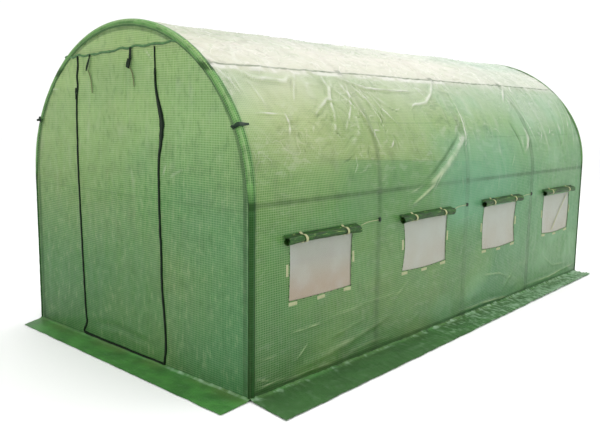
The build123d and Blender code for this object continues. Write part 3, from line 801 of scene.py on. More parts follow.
# the header and both zips, drawn as (x, height)
headerLine = [
    (-0.62, 1.676), (-0.588, 1.678), (-0.532, 1.679), (-0.42, 1.68), (-0.316, 1.681), (-0.134, 1.692), (-0.05, 1.7),
    (0.028, 1.701), (0.084, 1.708), (0.251, 1.709), (0.36, 1.713), (0.425, 1.716), (0.62, 1.716)]
zipLeftLine = [
    (-0.456, 0.022), (-0.474, 0.034), (-0.439, 0.097), (-0.451, 0.17), (-0.464, 0.597), (-0.476, 0.959),
    (-0.479, 1.372), (-0.462, 1.5), (-0.464, 1.56), (-0.452, 1.62), (-0.452, 1.7)]
zipRightLine = [
    (0.33, 0.02), (0.335, 0.05), (0.344, 0.135), (0.334, 0.3), (0.321, 0.456), (0.318, 0.672), (0.311, 0.752),
    (0.308, 1.089), (0.326, 1.2), (0.34, 1.307), (0.318, 1.4), (0.295, 1.489), (0.291, 1.605), (0.288, 1.7)]
# drawn folds of the front, as (x, height)
gableFolds = [
    ([(0.2, 1.69), (0.245, 1.655), (0.275, 1.62)], 0.006, 0.012),
    ([(-0.86, 1.5), (-0.66, 1.495)], 0.003, 0.006),
    ([(0.36, 1.02), (0.5, 1.08), (0.66, 1.1)], 0.004, 0.016),
    ([(0.34, 1.03), (0.37, 1.1)], 0.005, 0.012),
    ([(-0.1, 0.94), (-0.04, 0.86)], 0.005, 0.01),
    ([(-0.16, 0.97), (-0.11, 0.9)], 0.004, 0.01),
    ([(-0.02, 1.2), (0.08, 1.02), (0.1, 0.9)], 0.003, 0.025),
    ([(-0.4, 0.1), (-0.1, 0.13), (0.25, 0.1)], -0.005, 0.03),
    ([(-0.36, 1.66), (-0.33, 1.45), (-0.36, 1.2)], 0.003, 0.02),
    ([(0.05, 1.66), (0.02, 1.45), (0.05, 1.25)], -0.003, 0.02),
]


def gableInward(x, z):
    # how far a point of the gable lies in from its outline
    return np.minimum(halfAt(z) - abs(x), topHeight - z)


def gableDepth(x, z, end):
    seed = 60 + 10 * end
    inward = gableInward(x, z)
    depth = gable["slack"] * np.sin(np.pi * np.clip(z / 1.7, 0, 1)) * np.cos(np.pi * x / 2.2) * 0.5
    depth += gable["pleat"] * ripple(x, z, 0.06, 0.8, seed)
    depth += gable["wave"] * ripple(x, z, 0.3, 0.45, seed + 1)
    depth += gable["wave"] * ripple(x, z, 0.035, 0.35, seed + 2) * np.exp(-abs(headerHeight - z) / 0.16)
    depth += gable["crumple"] * ripple(x, z, 0.05, 0.06, seed + 3)
    height, crease = foldHeight(x, z, gableFolds if end < 0 else [])
    # the crease value gets streaks too; the gable's material paints it as highlight and shade
    crease = crease + 0.16 * ripple(x, z, 0.05, 0.5, seed + 4) + 0.26 * ripple(x, z, 0.16, 0.12, seed + 5)
    # the arch and the crossbar hold it out
    held = np.maximum(1 - ease(inward, 0.04, 0.09), 1 - ease(abs(z - headerHeight), 0.025, 0.06))
    calm = ease(inward, 0.0, 0.06)
    depth = np.clip((depth + height) * calm, gable["least"] + 0.01 * held, gable["most"])
    return depth, np.clip(crease, -1, 1) * calm


def gablePoint(x, z, end=-1, lift=0.0):
    # a point on a gable, end -1 is the door end and 1 the rear
    x, z = np.broadcast_arrays(np.asarray(x, float), np.asarray(z, float))
    return join(x, end * (halfLength - gable["inset"] + gableDepth(x, z, end)[0] + lift), z)


headerX, headerZ = np.array(headerLine).T
leftPath, rightPath = smoothPath(zipLeftLine, 0.02), smoothPath(zipRightLine, 0.02)


def headerAt(x):
    return np.interp(x, headerX, headerZ)


def edgeLeft(z):
    return gable["edge"] - halfAt(z)


def edgeRight(z):
    return halfAt(z) - gable["edge"]


def zipLeft(z):
    return np.interp(z, np.maximum.accumulate(leftPath[:, 1]), leftPath[:, 0])


def zipRight(z):
    return np.interp(z, np.maximum.accumulate(rightPath[:, 1]), rightPath[:, 0])


def gablePiece(name, node, x, z, inward, end, flip):
    piece = Piece(name)
    piece.grid(gablePoint(x, z, end), join(x, z, inward), gableDepth(x, z, end)[1], flip=flip)
    return piece.make(gableFilm, "cover_film", [node]), round(float(flatArea(join(x, 0, z)).sum()), 3)


panelHeights = spaced([gable["low"], 0.1, headerHeight], gable["mesh"])
rearHeights = section(spaced([gable["low"], ridgeLength - gable["edge"]], gable["mesh"]))[1]
# a film panel between two edges that are functions of height; the front ones end along the header
for name, node, left, right, heights, columns, end, bar in (
        ("frontPanelLeft", "cover_front_left", edgeLeft, zipLeft, panelHeights, 44, -1, "front_crossbar"),
        ("frontPanelRight", "cover_front_right", zipRight, edgeRight, panelHeights, 56, -1, "front_crossbar"),
        ("doorPanel", "door_panel", zipLeft, zipRight, panelHeights, 64, -1, "front_crossbar"),
        ("rearPanel", "cover_rear", edgeLeft, edgeRight, rearHeights, 120, 1, "rear_crossbar")):
    x = left(heights)[:, None] + (right(heights) - left(heights))[:, None] * np.linspace(0, 1, columns)
    z = np.broadcast_to(heights[:, None], x.shape)
    if end < 0:
        z = z + (headerAt(x) - headerHeight) * ease(z, headerHeight - 0.3, headerHeight)
    made, area = gablePiece(name, node, x, z, gableInward(x, z), end, end > 0)
    flat = (round(float(np.ptp(x)), 3), round(float(np.ptp(z)), 3))

# above the header
x = np.linspace(-gable["topHalf"], gable["topHalf"], 95)[:, None]
rim = np.interp(abs(x), sideTable[::-1], heightTable[::-1])
z = headerAt(x) + np.maximum(rim - gable["edge"] - headerAt(x), 0.001) * np.linspace(0, 1, 16)
x = np.broadcast_to(x, z.shape)
made, area = gablePiece("frontPanelTop", "cover_front_top", x, z, np.minimum(halfAt(z) - abs(x), rim - z), -1, True)
print("gables are hung")

# sleeves over the end arches
sleeveLook = {
    "low": (14, 50, 6), "waist": (20, 66, 12), "high": (84, 134, 68), "seam": (26, 72, 28), "pale": (176, 202, 146),
}


def sleeveMaterial():
    g = Graph("sleeveFilm", sleeveLook)
    height = g.split(g.place)[2]
    along, over = g.sewn()[:2]
    # much darker below the waist: painted shade
    g.colour = g.ramp(height / 1.85, [(0.0, "low"), (0.48, "waist"), (0.56, "high"), (0.95, "high")])
    patchy = g.noise(14.0, 4.0, 0.6)
    g.coat(g.larger(g.near(over, 0.08, 0.09, 0.08), g.near(over, 0.8, 0.04, 0.06)) * 0.8, "seam")
    # a painted highlight down the round of the tube, above the waist
    tubeHighlight = g.near(over, 0.48, 0.06, 0.1) * g.rise(height, 0.95, 1.15)
    g.coat(tubeHighlight * g.rise(patchy, 0.35, 0.6) * 0.5, "pale")
    g.coat(g.rise(patchy, 0.43, 0.66) * 0.6, "seam")
    threads = g.larger(g.lines(along, threadPitch, 0.0022), g.lines(over, 0.18, 0.03))
    g.coat(threads * (0.05 + g.rise(height, 0.9, 1.1) * 0.2), "pale")
    fittings = g.larger(g.near(height, 1.588, 0.01, 0.02), g.near(height, 0.94, 0.01, 0.02))  # painted shade of the fittings behind it
    g.coat(fittings * 0.75, "low")
    relief = g.bump(g.noise(60.0, 3.0, 0.6), 0.001, 0.7)
    return g.finish(g.surface(0.46 + patchy * 0.12, relief, {"IOR": 1.48, "Specular IOR Level": 0.15}))


sleeveFilm = sleeveMaterial()
# across and deep, from the inner seam on the gable round the corner to the outer seam on the roof
sleeveShape = np.array([
    (-0.036, 0.0), (-0.032, -0.003), (-0.026, -0.0046), (-0.019, -0.0054), (-0.012, -0.005), (-0.006, -0.0036),
    (-0.002, -0.0014), (0.0015, 0.003), (0.0032, 0.008), (0.0038, 0.013), (0.0034, 0.018), (0.0022, 0.023),
    (0.0008, 0.028)])
run, sign, x, z, outX, outZ = (column[:, None] for column in overArch(0.004, 0.02))
narrow = 0.55 + 0.45 * ease(z, waistHeight - 0.02, waistHeight + 0.12)
for end, endName, arch in ((-1, "Front", "arch_front"), (1, "Rear", "arch_rear")):
    across, deep = sleeveShape.T
    wave = 0.0015 * ripple(run, across * 9, 0.05, 0.3, 71 + end)
    deep = deep + 0.0012 * ripple(run, deep * 20, 0.035, 0.1, 75 + end)
    across = np.where(across < 0, across * narrow, across)
    across = across + wave * (across < -0.004)
    points = join(sign * (x + outX * across), end * (halfLength - 0.002 - deep), np.maximum(z + outZ * across, 0.003))
    piece = Piece("archSleeve" + endName)
    piece.grid(points, join(run, np.linspace(0, 1, len(sleeveShape)), 0), flip=end > 0)
    made = piece.make(sleeveFilm, "cover_film")
    round(2 * ridgeLength, 3)
print("arch sleeves are sewn")

# windows
windowLook = {
    "net": (152, 154, 144), "netRose": (160, 112, 84), "netShade": (104, 104, 92), "netPale": (170, 178, 176),
    "netThread": (214, 212, 204), "netPitch": 0.0032, "netHalf": 0.0011, "netBare": 0.12,
    "binding": (82, 118, 66), "bindingWorn": (122, 154, 104), "stitch": (22, 40, 20),
    "rollDeep": (4, 38, 4), "rollFresh": (26, 80, 16), "rollThread": (120, 150, 84), "rollStreak": (150, 176, 96),
    "cream": (168, 172, 132), "creamWorn": (150, 150, 104), "patch": (168, 172, 134), "patchWorn": (128, 146, 104),
}


def netMaterial():
    g = Graph("insectNet", windowLook)
    u, v, low = g.sewn()
    front = g.fall(g.split(g.place)[1], -1.35, -1.0)  # the view through the nets is painted in: rose toward the bottom and painted shade, both stronger in the first window, which shows more of what is behind it
    g.colour = g.mix(g.rise(low, 0.25, 0.9) * (0.18 + front * 0.62), "net", "netRose")
    g.coat(front * 0.3, "netShade")
    cloudy = g.noise(5.0)
    g.coat(g.rise(cloudy, 0.4, 0.7) * 0.3, "netPale")
    threads = g.threads(u, v, windowLook["netHalf"], windowLook["netPitch"])
    g.coat(threads * 0.25, "netThread")
    surface = g.surface(0.42 + cloudy * 0.2, g.bump(threads + g.noise(30.0) * 2.0, 0.0006, 0.6))
    return g.finish(g.blend(windowLook["netBare"] + (1 - threads) * 0.1, surface, g.clear()))


def webbingMaterial(name, look, colour, ribs=0.0022):
    g = Graph(name, look)
    u, v = g.sewn()[:2]
    dirt = g.noise(40.0, 4.0, 0.6)
    weave = g.larger(g.lines(u, ribs, ribs * 0.4), g.lines(v, ribs * 1.3, ribs * 0.4))
    g.colour = g.mix(g.rise(dirt, 0.4, 0.75) * 0.5, colour, colour + "Worn")
    g.coat((1 - weave) * 0.35, colour + "Worn")
    return g.finish(g.surface(0.72 + dirt * 0.15, g.bump(weave, 0.0005, 0.8), {"Specular IOR Level": 0.2}))


def rolledMaterial():
    g = Graph("rolledFilm", windowLook)
    threads = g.threads(*g.sewn()[:2], 0.0026, threadPitch)
    patchy = g.noise(40.0, 4.0, 0.6, (1.0, 0.25, 1.0))
    g.colour = g.mix(g.rise(patchy, 0.35, 0.7), "rollDeep", "rollFresh")
    g.coat(threads * 0.08, "rollThread")
    # painted highlights along the roll's streaks
    g.coat(g.rise(g.attribute("foldLine", "Fac"), 0.5, 0.95) * 0.6, "rollStreak")
    relief = g.bump(threads * 0.5 + patchy, 0.001, 0.8)
    return g.finish(g.surface(0.36 + patchy * 0.2, relief, {"Specular IOR Level": 0.25}))


def bindingMaterial():
    g = Graph("edgeBinding", windowLook)
    stitch = g.lines(g.sewn()[0], 0.055, 0.009)
    wear = g.noise(60.0)
    g.colour = g.mix(g.rise(wear, 0.4, 0.7) * 0.6, "binding", "bindingWorn")
    g.coat(stitch * 0.8, "stitch")
    return g.finish(g.surface(0.55 + wear * 0.2, g.bump(stitch + wear, 0.0005, 0.6), {"Specular IOR Level": 0.15}))


insectNet, rolledFilm, edgeBinding = netMaterial(), rolledMaterial(), bindingMaterial()
creamWebbing = webbingMaterial("creamWebbing", windowLook, "cream")
patchTape = webbingMaterial("patchTape", windowLook, "patch")
net = {"width": 0.536, "height": 0.336, "depth": 0.0042}
roll = {
    "turns": 2.6, "outer": 0.0198, "inner": 0.0085, "squeeze": 0.13, "length": 0.575, "spread": 0.165, "flat": 0.95,
    "leadTurn": math.radians(125), "flare": 0.16, "drops": [-0.01, -0.005, 0.004, 0.006], "forward": 0.008,
}
rollX, rollZ = middle("window_rolls_right").x - 0.006, middle("window_rolls_right").z
strap = {"width": 0.017, "thick": 0.0011, "slant": 0.01, "cord": 0.0016}
# the patches' width, height and places from the window's middle
patch = {
    "below": (0.062, 0.019, [(-0.218, -0.165), (0.0, -0.166), (0.218, -0.164)]),
    "beside": (0.017, 0.062, [(-0.266, 0.01), (0.266, 0.01)]), "thick": 0.0014,
}


def padOnCover(piece, y, s, wide, tall, thick, side, tilt=0.0):
    # a small sewn pad whose rim meets the film
    u, v = np.meshgrid(np.linspace(-1, 1, 11), np.linspace(-1, 1, 7), indexing="ij")
    rim = np.maximum(abs(u), abs(v)) > 0.99
    along, up = np.clip(u * 1.06, -1, 1) * wide / 2, np.clip(v * 1.1, -1, 1) * tall / 2
    turnedY, turnedS = along * math.cos(tilt) - up * math.sin(tilt), along * math.sin(tilt) + up * math.cos(tilt)
    points = coverPoint(y + turnedY, s + turnedS, side)
    points[..., 0] += side * np.where(rim, 0.0002, thick)
    piece.grid(points, join(along, up, 0), flip=side < 0)


def flatBand(width, thick):
    # the outline of a strap, for sweeping
    return [(-thick / 2, -width / 2), (thick / 2, -width / 2), (thick / 2, width / 2), (-thick / 2, width / 2)]


def hangNet(middleY, side, seed):
    y, s = (np.linspace(-size / 2, size / 2, count) for size, count in ((net["width"], 44), (net["height"], 28)))
    y, s = np.meshgrid(y, s, indexing="ij")
    wave = 0.0016 * ripple(y, s, 0.12, 0.16, seed) + 0.0006 * ripple(y, s, 0.03, 0.2, seed + 1)
    points = join(side * (halfWidth - net["depth"] + wave), y + middleY, s + windowMiddle)
    nets.grid(points, join(y, s, 0.5 - s / 0.34), flip=side < 0)


def bindWindow(middleY, side):
    # down the front edge, along the sill and up the rear edge
    half = window["width"] / 2
    corners = [(-half, windowTop), (-half, window["sill"]), (half, window["sill"]), (half, windowTop)]
    for (fromY, fromS), (toY, toS), count in zip(corners, corners[1:], (22, 26, 22)):
        path = coverPoint(middleY + np.linspace(fromY, toY, count), np.linspace(fromS, toS, count), side, 0.0006)
        bindings.grid(sweep(path, [(-0.0024, 0.0), (-0.0018, 0.0012), (0.0018, 0.0012), (0.0024, 0.0)], (side, 0, 0)))


def rollFlap(rolls, middleY, centreZ, side, seed):
    # from the seam over the window round into a loose spiral, squeezed by its two ties
    share, turned = np.meshgrid(np.linspace(0, 1, 46), np.linspace(0, 1, 96), indexing="ij")
    slip = 0.01 * ripple(turned * 3, 0 * share, 0.4, 1.0, seed + 2) * (2 * share - 1)
    y = middleY - roll["forward"] + (share - 0.5) * roll["length"] + slip
    angle = roll["leadTurn"] - 2 * np.pi * roll["turns"] * turned
    run = angle * 0.023
    squeeze = sum(np.exp(-((y - middleY - at) / 0.02) ** 2) for at in (-roll["spread"], roll["spread"]))
    loose = 1 + roll["flare"] * ease(abs(share - 0.5), 0.36, 0.5) * (1 - 0.6 * turned)
    radius = roll["outer"] + (roll["inner"] - roll["outer"]) * turned ** 0.85
    radius = radius * (1 - roll["squeeze"] * squeeze) * loose
    radius = radius + 0.0011 * ripple(y, run, 0.09, 0.016, seed + 3) + 0.0006 * ripple(y, run, 0.02, 0.02, seed + 4)
    lead = ease(turned, 0.0, 0.05)
    x = (halfWidth + 0.0012) * (1 - lead) + (rollX + radius * np.cos(angle) * roll["flat"]) * lead
    droop = 0.005 * abs(2 * share - 1) ** 3
    z = (centreZ + 0.026) * (1 - lead) + (centreZ + radius * np.sin(angle) - droop) * lead
    # streaks that the roll's material paints as highlights
    streak = np.clip(1 - abs(ripple(y, run, 0.16, 0.012, seed + 5)) * 5, 0, 1)
    points = join(side * np.maximum(x, halfWidth + 0.0008), y, z)
    rolls.grid(points, join(y, turned * 0.3, 0), streak * 0.9, flip=side > 0)


def tieRoll(y, centreZ, side):
    turn = np.radians(np.append(128, np.linspace(118, -128, 26)))
    hug = roll["outer"] * (1 - roll["squeeze"]) + 0.0026
    x, z = rollX + hug * np.cos(turn) * roll["flat"], centreZ + hug * np.sin(turn)
    x[0], z[0] = halfWidth + 0.001, centreZ + 0.03
    x, z = np.append(x, halfWidth + 0.001), np.append(z, centreZ - 0.028)
    path = join(side * x, y + strap["slant"] * np.linspace(-1, 1, len(x)), z)
    ties.rod(path, flatBand(strap["width"], strap["thick"]), (0, 1, 0))


nets, bindings, ties, patches = Piece("windowNets"), Piece("windowBindings"), Piece("rollTies"), Piece("netPatches")
for side, sideName in sideNames.items():
    rolls = Piece("windowRolls" + sideName)
    for number, middleY in enumerate(bayMiddles):
        seed = 100 + number * 7 + side
        hangNet(middleY, side, seed)
        bindWindow(middleY, side)
        centreZ = rollZ + roll["drops"][number]
        rollFlap(rolls, middleY, centreZ, side, seed)
        for at in (-roll["spread"], roll["spread"]):
            tieRoll(middleY + at, centreZ, side)
        # hook-and-loop patches under and beside the opening
        tilts = [0.05 * math.sin(seed + step) for step in (0, 2, 4)] + [0.04 * math.cos(seed)] * 2
        spots = [(patch[where][:2], spot) for where in ("below", "beside") for spot in patch[where][2]]
        for ((wide, tall), (alongY, upS)), tilt in zip(spots, tilts):
            padOnCover(patches, middleY + alongY, windowMiddle + upS, wide, tall, patch["thick"], side, tilt)
    madeRolls = rolls.make(rolledFilm, "roll_film", [f"window_rolls_{sideName.lower()}"])
    # a thin cord from each roll's rear end to the toggle on the arch
    for middleY, row in zip(bayMiddles, archRows[1:-1]):
        cord = [(rollX, middleY + 0.296, rollZ + 0.004), (halfWidth + 0.016, middleY + 0.36, rollZ + 0.013),
                (halfWidth + 0.008, row - 0.02, rollZ + 0.014)]
        ties.rod(smoothPath(cord, 0.02) * (side, 1, 1), circle(strap["cord"], 6), (0, 0, 1))
# the draw tape that hangs across the last window
tapeLine = [(0.004, 1.69, 0.738), (0.003, 1.6, 0.65), (0.003, 1.5, 0.55), (0.003, 1.415, 0.452)]
tapeLine = smoothPath([(halfWidth + out, y, z) for out, y, z in tapeLine], 0.02)
ties.grid(sweep(tapeLine, [(-0.004, 0), (-0.003, 0.001), (0.003, 0.001), (0.004, 0)], (1, 0, 0)))
nets.make(insectNet, "net_mesh", ["window_nets"])
bindings.make(edgeBinding, "cover_film")
ties.make(creamWebbing, "webbing", ["roll_ties"])
patches.make(patchTape, "webbing", ["net_patches"])
print("windows are fitted")

# door
doorLook = {
    "zip": (8, 26, 10), "zipWorn": (22, 48, 20), "tooth": (50, 62, 46),
    "header": (46, 98, 42), "headerWorn": (72, 126, 62), "headerEdge": (34, 66, 32),
    "strap": (14, 30, 16), "strapWorn": (34, 52, 30), "ribbon": (96, 112, 70), "ribbonWorn": (128, 120, 84),
}


def zipMaterial():
    g = Graph("zipTape", doorLook)
    u, v = g.sewn()[:2]
    chain = g.near(v, 0.5, 0.16, 0.05)
    teeth = g.lines(u, 0.0042, 0.0014) * chain
    g.colour = g.mix(g.rise(g.noise(30.0, 4.0, 0.6), 0.45, 0.8) * 0.6, "zip", "zipWorn")
    g.coat(teeth * 0.4, "tooth")
    return g.finish(g.surface(0.6 - chain * 0.2, g.bump(teeth, 0.001, 1.0), {"Specular IOR Level": 0.12}))


def headerMaterial():
    g = Graph("headerHem", doorLook)
    u, v = g.sewn()[:2]
    worn = g.noise(35.0, 4.0, 0.6)
    g.colour = g.mix(g.rise(worn, 0.35, 0.75), "header", "headerWorn")
    g.coat(g.rise(v, 0.55, 0.9) * 0.7, "headerEdge")
    return g.finish(g.surface(0.42 + worn * 0.2, g.bump(worn + g.lines(u, threadPitch, 0.002), 0.0012, 0.8)))


zipTape, headerHem = zipMaterial(), headerMaterial()
darkWebbing = webbingMaterial("darkWebbing", doorLook, "strap")
oliveRibbon = webbingMaterial("oliveRibbon", doorLook, "ribbon")
outOfGable = (0, -1, 0)


def onGable(line, lift):
    return gablePoint(line[:, 0], line[:, 1], -1, lift)


zipFoot = [(-0.43, 0.02), (-0.276, 0.018), (-0.028, 0.017), (0.151, 0.016), (0.305, 0.016)]
zipX, zipZ = smoothPath(zipLeftLine[::-1] + zipFoot + zipRightLine, 0.012).T
zipZ = np.minimum(zipZ, headerAt(zipX) - 0.004)
zipShape = [(-0.01, 0.0), (-0.0095, 0.0012), (-0.005, 0.0016), (-0.0042, 0.004), (0.0, 0.005),
            (0.0042, 0.004), (0.005, 0.0016), (0.0095, 0.0012), (0.01, 0.0)]
onRight = ease(zipX, 0.0, 0.2)
swell = 0.95 + 1.0 * np.exp(-((zipZ - 1.31) / 0.11) ** 2) * onRight
swell *= 1 - 0.35 * ease(zipZ, 1.5, 1.58) * onRight - 0.15 * (zipZ < 0.02)
swell *= 1 + 0.16 * ripple(zipZ + zipX, zipZ, 0.03, 0.5, 140)
zips = Piece("doorZip")
points = sweep(gablePoint(zipX, zipZ, -1, 0.0014), scaled(zipShape, swell, 1), outOfGable)
points[..., 2] = np.maximum(points[..., 2], 0.0015)
zips.grid(points, join(np.linspace(0, 4.3, len(zipX))[:, None], np.linspace(0, 1, len(zipShape)), 0))
for atX, atZ in ((-0.478, 1.486), (0.293, 1.575)):  # sliders with their pullers
    slider = onGable(smoothPath([(atX, atZ + 0.014), (atX, atZ), (atX, atZ - 0.014)], 0.004), 0.004)
    grow = np.linspace(0.75, 1, len(slider))
    zips.rod(slider, scaled(circle(1.0, 10), 0.009 * grow, 0.0045 * grow), outOfGable)
    puller = smoothPath([(atX, atZ - 0.008), (atX + 0.003, atZ - 0.03), (atX + 0.002, atZ - 0.052)], 0.006)
    zips.rod(onGable(puller, 0.0085), circle(1.0, 8) * (0.0045, 0.0014), outOfGable)
zips.make(zipTape, "zip_tape", ["door_zips"])

header = Piece("headerHem")
hemLine = smoothPath([
    (-0.585, 1.677), (-0.555, 1.683), (-0.5, 1.674), (-0.44, 1.686), (-0.38, 1.677), (-0.316, 1.684), (-0.25, 1.683),
    (-0.2, 1.69), (-0.134, 1.69), (-0.07, 1.694), (-0.01, 1.706), (0.05, 1.699), (0.12, 1.711), (0.2, 1.705),
    (0.28, 1.712), (0.36, 1.709), (0.425, 1.718), (0.475, 1.716)], 0.008)
hemX = hemLine[:, 0]
hemSwell = 1 + 0.35 * ripple(hemX, hemX, 0.035, 1.0, 150)
hemShape = [(-0.0065, 0.0), (-0.0054, 0.002), (-0.0028, 0.0036), (0.0, 0.0042), (0.0028, 0.0034), (0.0052, 0.0018),
            (0.0062, 0.0)]
header.grid(sweep(onGable(hemLine, 0.001), scaled(hemShape, hemSwell, hemSwell), outOfGable),
            join(hemX[:, None], np.linspace(0, 1, len(hemShape)), 0))
header.make(headerHem, "roll_film", ["front_header_band"])


def ribbon(piece, line, wide, thick):
    # a flat strap in front of the gable; line is (x, height, standoff), wide may change along it
    line = smoothPath(line, 0.006)
    place = onGable(line, 0.002)
    place[:, 1] -= line[:, 2]
    widths = np.interp(np.linspace(0, 1, len(line)), np.linspace(0, 1, len(wide)), wide) / 2
    piece.rod(place, scaled([(-1, 0), (-0.96, 1), (0.96, 1), (1, 0)], widths, thick), outOfGable)


straps, ribbons = Piece("doorStraps"), Piece("doorRibbons")
for piece, thick, wide, line in (
        (straps, 0.0018, [0.01, 0.012, 0.01, 0.009],
         [(-0.312, 1.684, 0.004), (-0.322, 1.655, 0.006), (-0.338, 1.62, 0.01), (-0.344, 1.594, 0.01)]),
        (straps, 0.0018, [0.01, 0.01, 0.009, 0.009],
         [(-0.344, 1.594, 0.01), (-0.33, 1.612, 0.013), (-0.318, 1.645, 0.01), (-0.314, 1.68, 0.006)]),
        (straps, 0.0022, [0.014, 0.02, 0.024], [(0.082, 1.704, 0.004), (0.084, 1.675, 0.006), (0.082, 1.64, 0.006)]),
        (straps, 0.006, [0.026, 0.03, 0.026], [(0.078, 1.642, 0.007), (0.07, 1.62, 0.008), (0.062, 1.598, 0.007)]),
        (ribbons, 0.0012, [0.008, 0.009, 0.01, 0.008],
         [(-0.334, 1.6, 0.006), (-0.318, 1.56, 0.004), (-0.306, 1.52, 0.003), (-0.3, 1.468, 0.004)]),
        (ribbons, 0.0012, [0.009, 0.009, 0.008, 0.008],
         [(0.078, 1.604, 0.006), (0.098, 1.57, 0.004), (0.106, 1.535, 0.004), (0.116, 1.498, 0.006)])):
    ribbon(piece, line, wide, thick)
straps.make(darkWebbing, "zip_tape", ["door_ties"])
ribbons.make(oliveRibbon, "webbing")
print("door is zipped")

# small fasteners
plasticLook = {"clip": (16, 40, 22), "clipWorn": (54, 84, 54), "fitting": (26, 52, 30), "fittingWorn": (62, 88, 58)}


def plasticMaterial(name, colour, roughness):
    g = Graph(name, plasticLook)
    scuff = g.rise(g.noise(26.0, 5.0, 0.65), 0.5, 0.72)
    g.colour = g.mix(scuff * 0.55, colour, colour + "Worn")
    relief = g.bump(g.noise(220.0, 2.0) + scuff * 0.4, 0.0003, 0.6)
    return g.finish(g.surface(roughness + scuff * 0.15, relief, {"Specular IOR Level": 0.25}))


clipPlastic = plasticMaterial("clipPlastic", "clip", 0.42)
fittingPlastic = plasticMaterial("fittingPlastic", "fitting", 0.46)
tab = {
    "height": middle("wall_tabs").z, "width": 0.022, "tall": 0.02, "thick": 0.0015, "band": 0.014, "bandThick": 0.0016,
}
tabs = Piece("wallTabs")
for side in sideNames:
    for row in archRows[1:-1]:
        padOnCover(tabs, row, tab["height"], tab["width"], tab["tall"], tab["thick"], side)
        loop = [(side * (halfWidth + out), row, tab["height"] + up)
                for out, up in ((0.002, -0.013), (0.008, -0.008), (0.0085, 0.006), (0.002, 0.012))]
        tabs.rod(smoothPath(loop, 0.003), flatBand(tab["band"], tab["bandThick"]), (0, 1, 0))
tabs.make(fittingPlastic, "fitting_plastic", ["wall_tabs"])

clip = {
    "turn": math.radians(27.4), "width": 0.022, "sideLength": 0.06, "frontLength": 0.034, "gap": 0.006,
    "knobRadius": 0.0075, "knobOut": 0.022, "knobSteps": np.array([1.25, 1.25, 0.8, 0.8, 1.0, 1.0, 0.72]),
}
outX, outZ = math.cos(clip["turn"]), math.sin(clip["turn"])
rimX, rimZ = shoulderX + tunnel["shoulderRadius"] * outX, springHeight + tunnel["shoulderRadius"] * outZ
gap, front = clip["gap"], -halfLength
clips = Piece("coverClips")


def clipPlace(side, out, y):
    # out of the film at the clip's place on the arch, and along the tunnel
    return (side * (rimX + outX * out), y, rimZ + outZ * out)


for side in sideNames:
    spring = [
        (-clip["frontLength"], front - gap - 0.004), (-clip["frontLength"] / 2, front - gap - 0.002),
        (-0.004, front - gap - 0.003), (gap, front - gap + 0.002), (gap + 0.002, front + 0.01), (gap, front + 0.034),
        (gap + 0.0015, front + clip["sideLength"])]
    band = smoothPath([clipPlace(side, out, y) for out, y in spring], 0.004)
    taper = np.interp(np.linspace(0, 1, len(band)), [0, 0.3, 0.6, 1.0], [0.8, 1.0, 0.9, 0.45]) * clip["width"] / 2
    outline = [(-0.0016, -1), (0.0016, -1), (0.0022, -0.5), (0.0022, 0.5), (0.0016, 1), (-0.0016, 1)]
    clips.rod(band, scaled(outline, 1, taper), (-side * outZ, 0, outX), side < 0)
    knob = [clipPlace(side, -frameInset, front - gap - 0.001 - out) for out in np.linspace(0, clip["knobOut"], 7)]
    knobSizes = clip["knobSteps"] * clip["knobRadius"]
    clips.rod(knob, scaled(circle(1.0, 16), knobSizes, knobSizes), (0, 0, 1))
clips.make(clipPlastic, "clip_plastic", ["cover_clips"])
print("fasteners are fitted")

# ground flaps
skirtLook = {
    "deep": (40, 100, 28), "fresh": (64, 132, 48), "soil": (84, 96, 40), "olive": (36, 74, 26), "pale": (148, 180, 148),
    "hollow": (10, 44, 8), "fold": (8, 40, 10), "side": (0.99, 1.04),
}


def skirtMaterial():
    g = Graph("skirtFilm", skirtLook)
    cut = g.attribute("cut", "Vector")
    u, v = g.split(cut)[:2]
    crease = g.attribute("foldLine", "Fac")
    beside, rearward = g.split(g.place)[:2]
    patchy = g.noise(7.0, 5.0, 0.6)
    threads = g.threads(u, v, 0.0026, threadPitch)
    g.colour = g.mix(g.rise(patchy, 0.3, 0.7), "deep", "fresh")
    g.coat(g.fall(v, 0.01, 0.11) * g.rise(g.noise(3.0), 0.35, 0.6) * 0.4, "soil")
    # streaks along the run: painted highlights and painted shade
    streaky = g.noise(1.0, 4.0, 0.65, (16.0, 44.0, 1.0), cut)
    g.coat(g.rise(streaky, 0.52, 0.72) * 0.12, "pale")
    g.coat(g.fall(streaky, 0.3, 0.46) * 0.25, "hollow")
    right = g.rise(beside, *skirtLook["side"])
    nearer = right * g.fall(rearward, -1.2, 0.2)
    g.coat(right * 0.55 + nearer * 0.2, "olive")
    # a paler painted sheen on the right flap, growing toward the rear
    g.coat(right * g.rise(rearward, -0.6, 1.4) * 0.14, "pale")
    g.coat(threads * 0.12, "pale")
    # painted shade in the folds and painted highlight on the pleats, less on the right flap's front away from the wall
    g.coat(g.rise(0 - crease, 0.1, 0.9) * 0.7, "fold")
    g.coat(g.rise(crease, 0.15, 0.85) * (0.66 - nearer * g.rise(v, 0.03, 0.06) * 0.46), "pale")
    relief = g.bump(threads * 0.5 + g.noise(50.0), 0.001, 0.7)
    return g.finish(g.surface(0.42 + patchy * 0.2, relief, {"Specular IOR Level": 0.35}))


skirtFilm = skirtMaterial()
skirt = {
    "lift": 0.0035, "pleat": 0.011, "fold": 0.004, "wave": 0.003, "foot": 0.009, "pucker": 0.003, "wobble": 0.004,
    "mesh": 0.011,
}
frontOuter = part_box("skirt_front")[0].y + 0.002
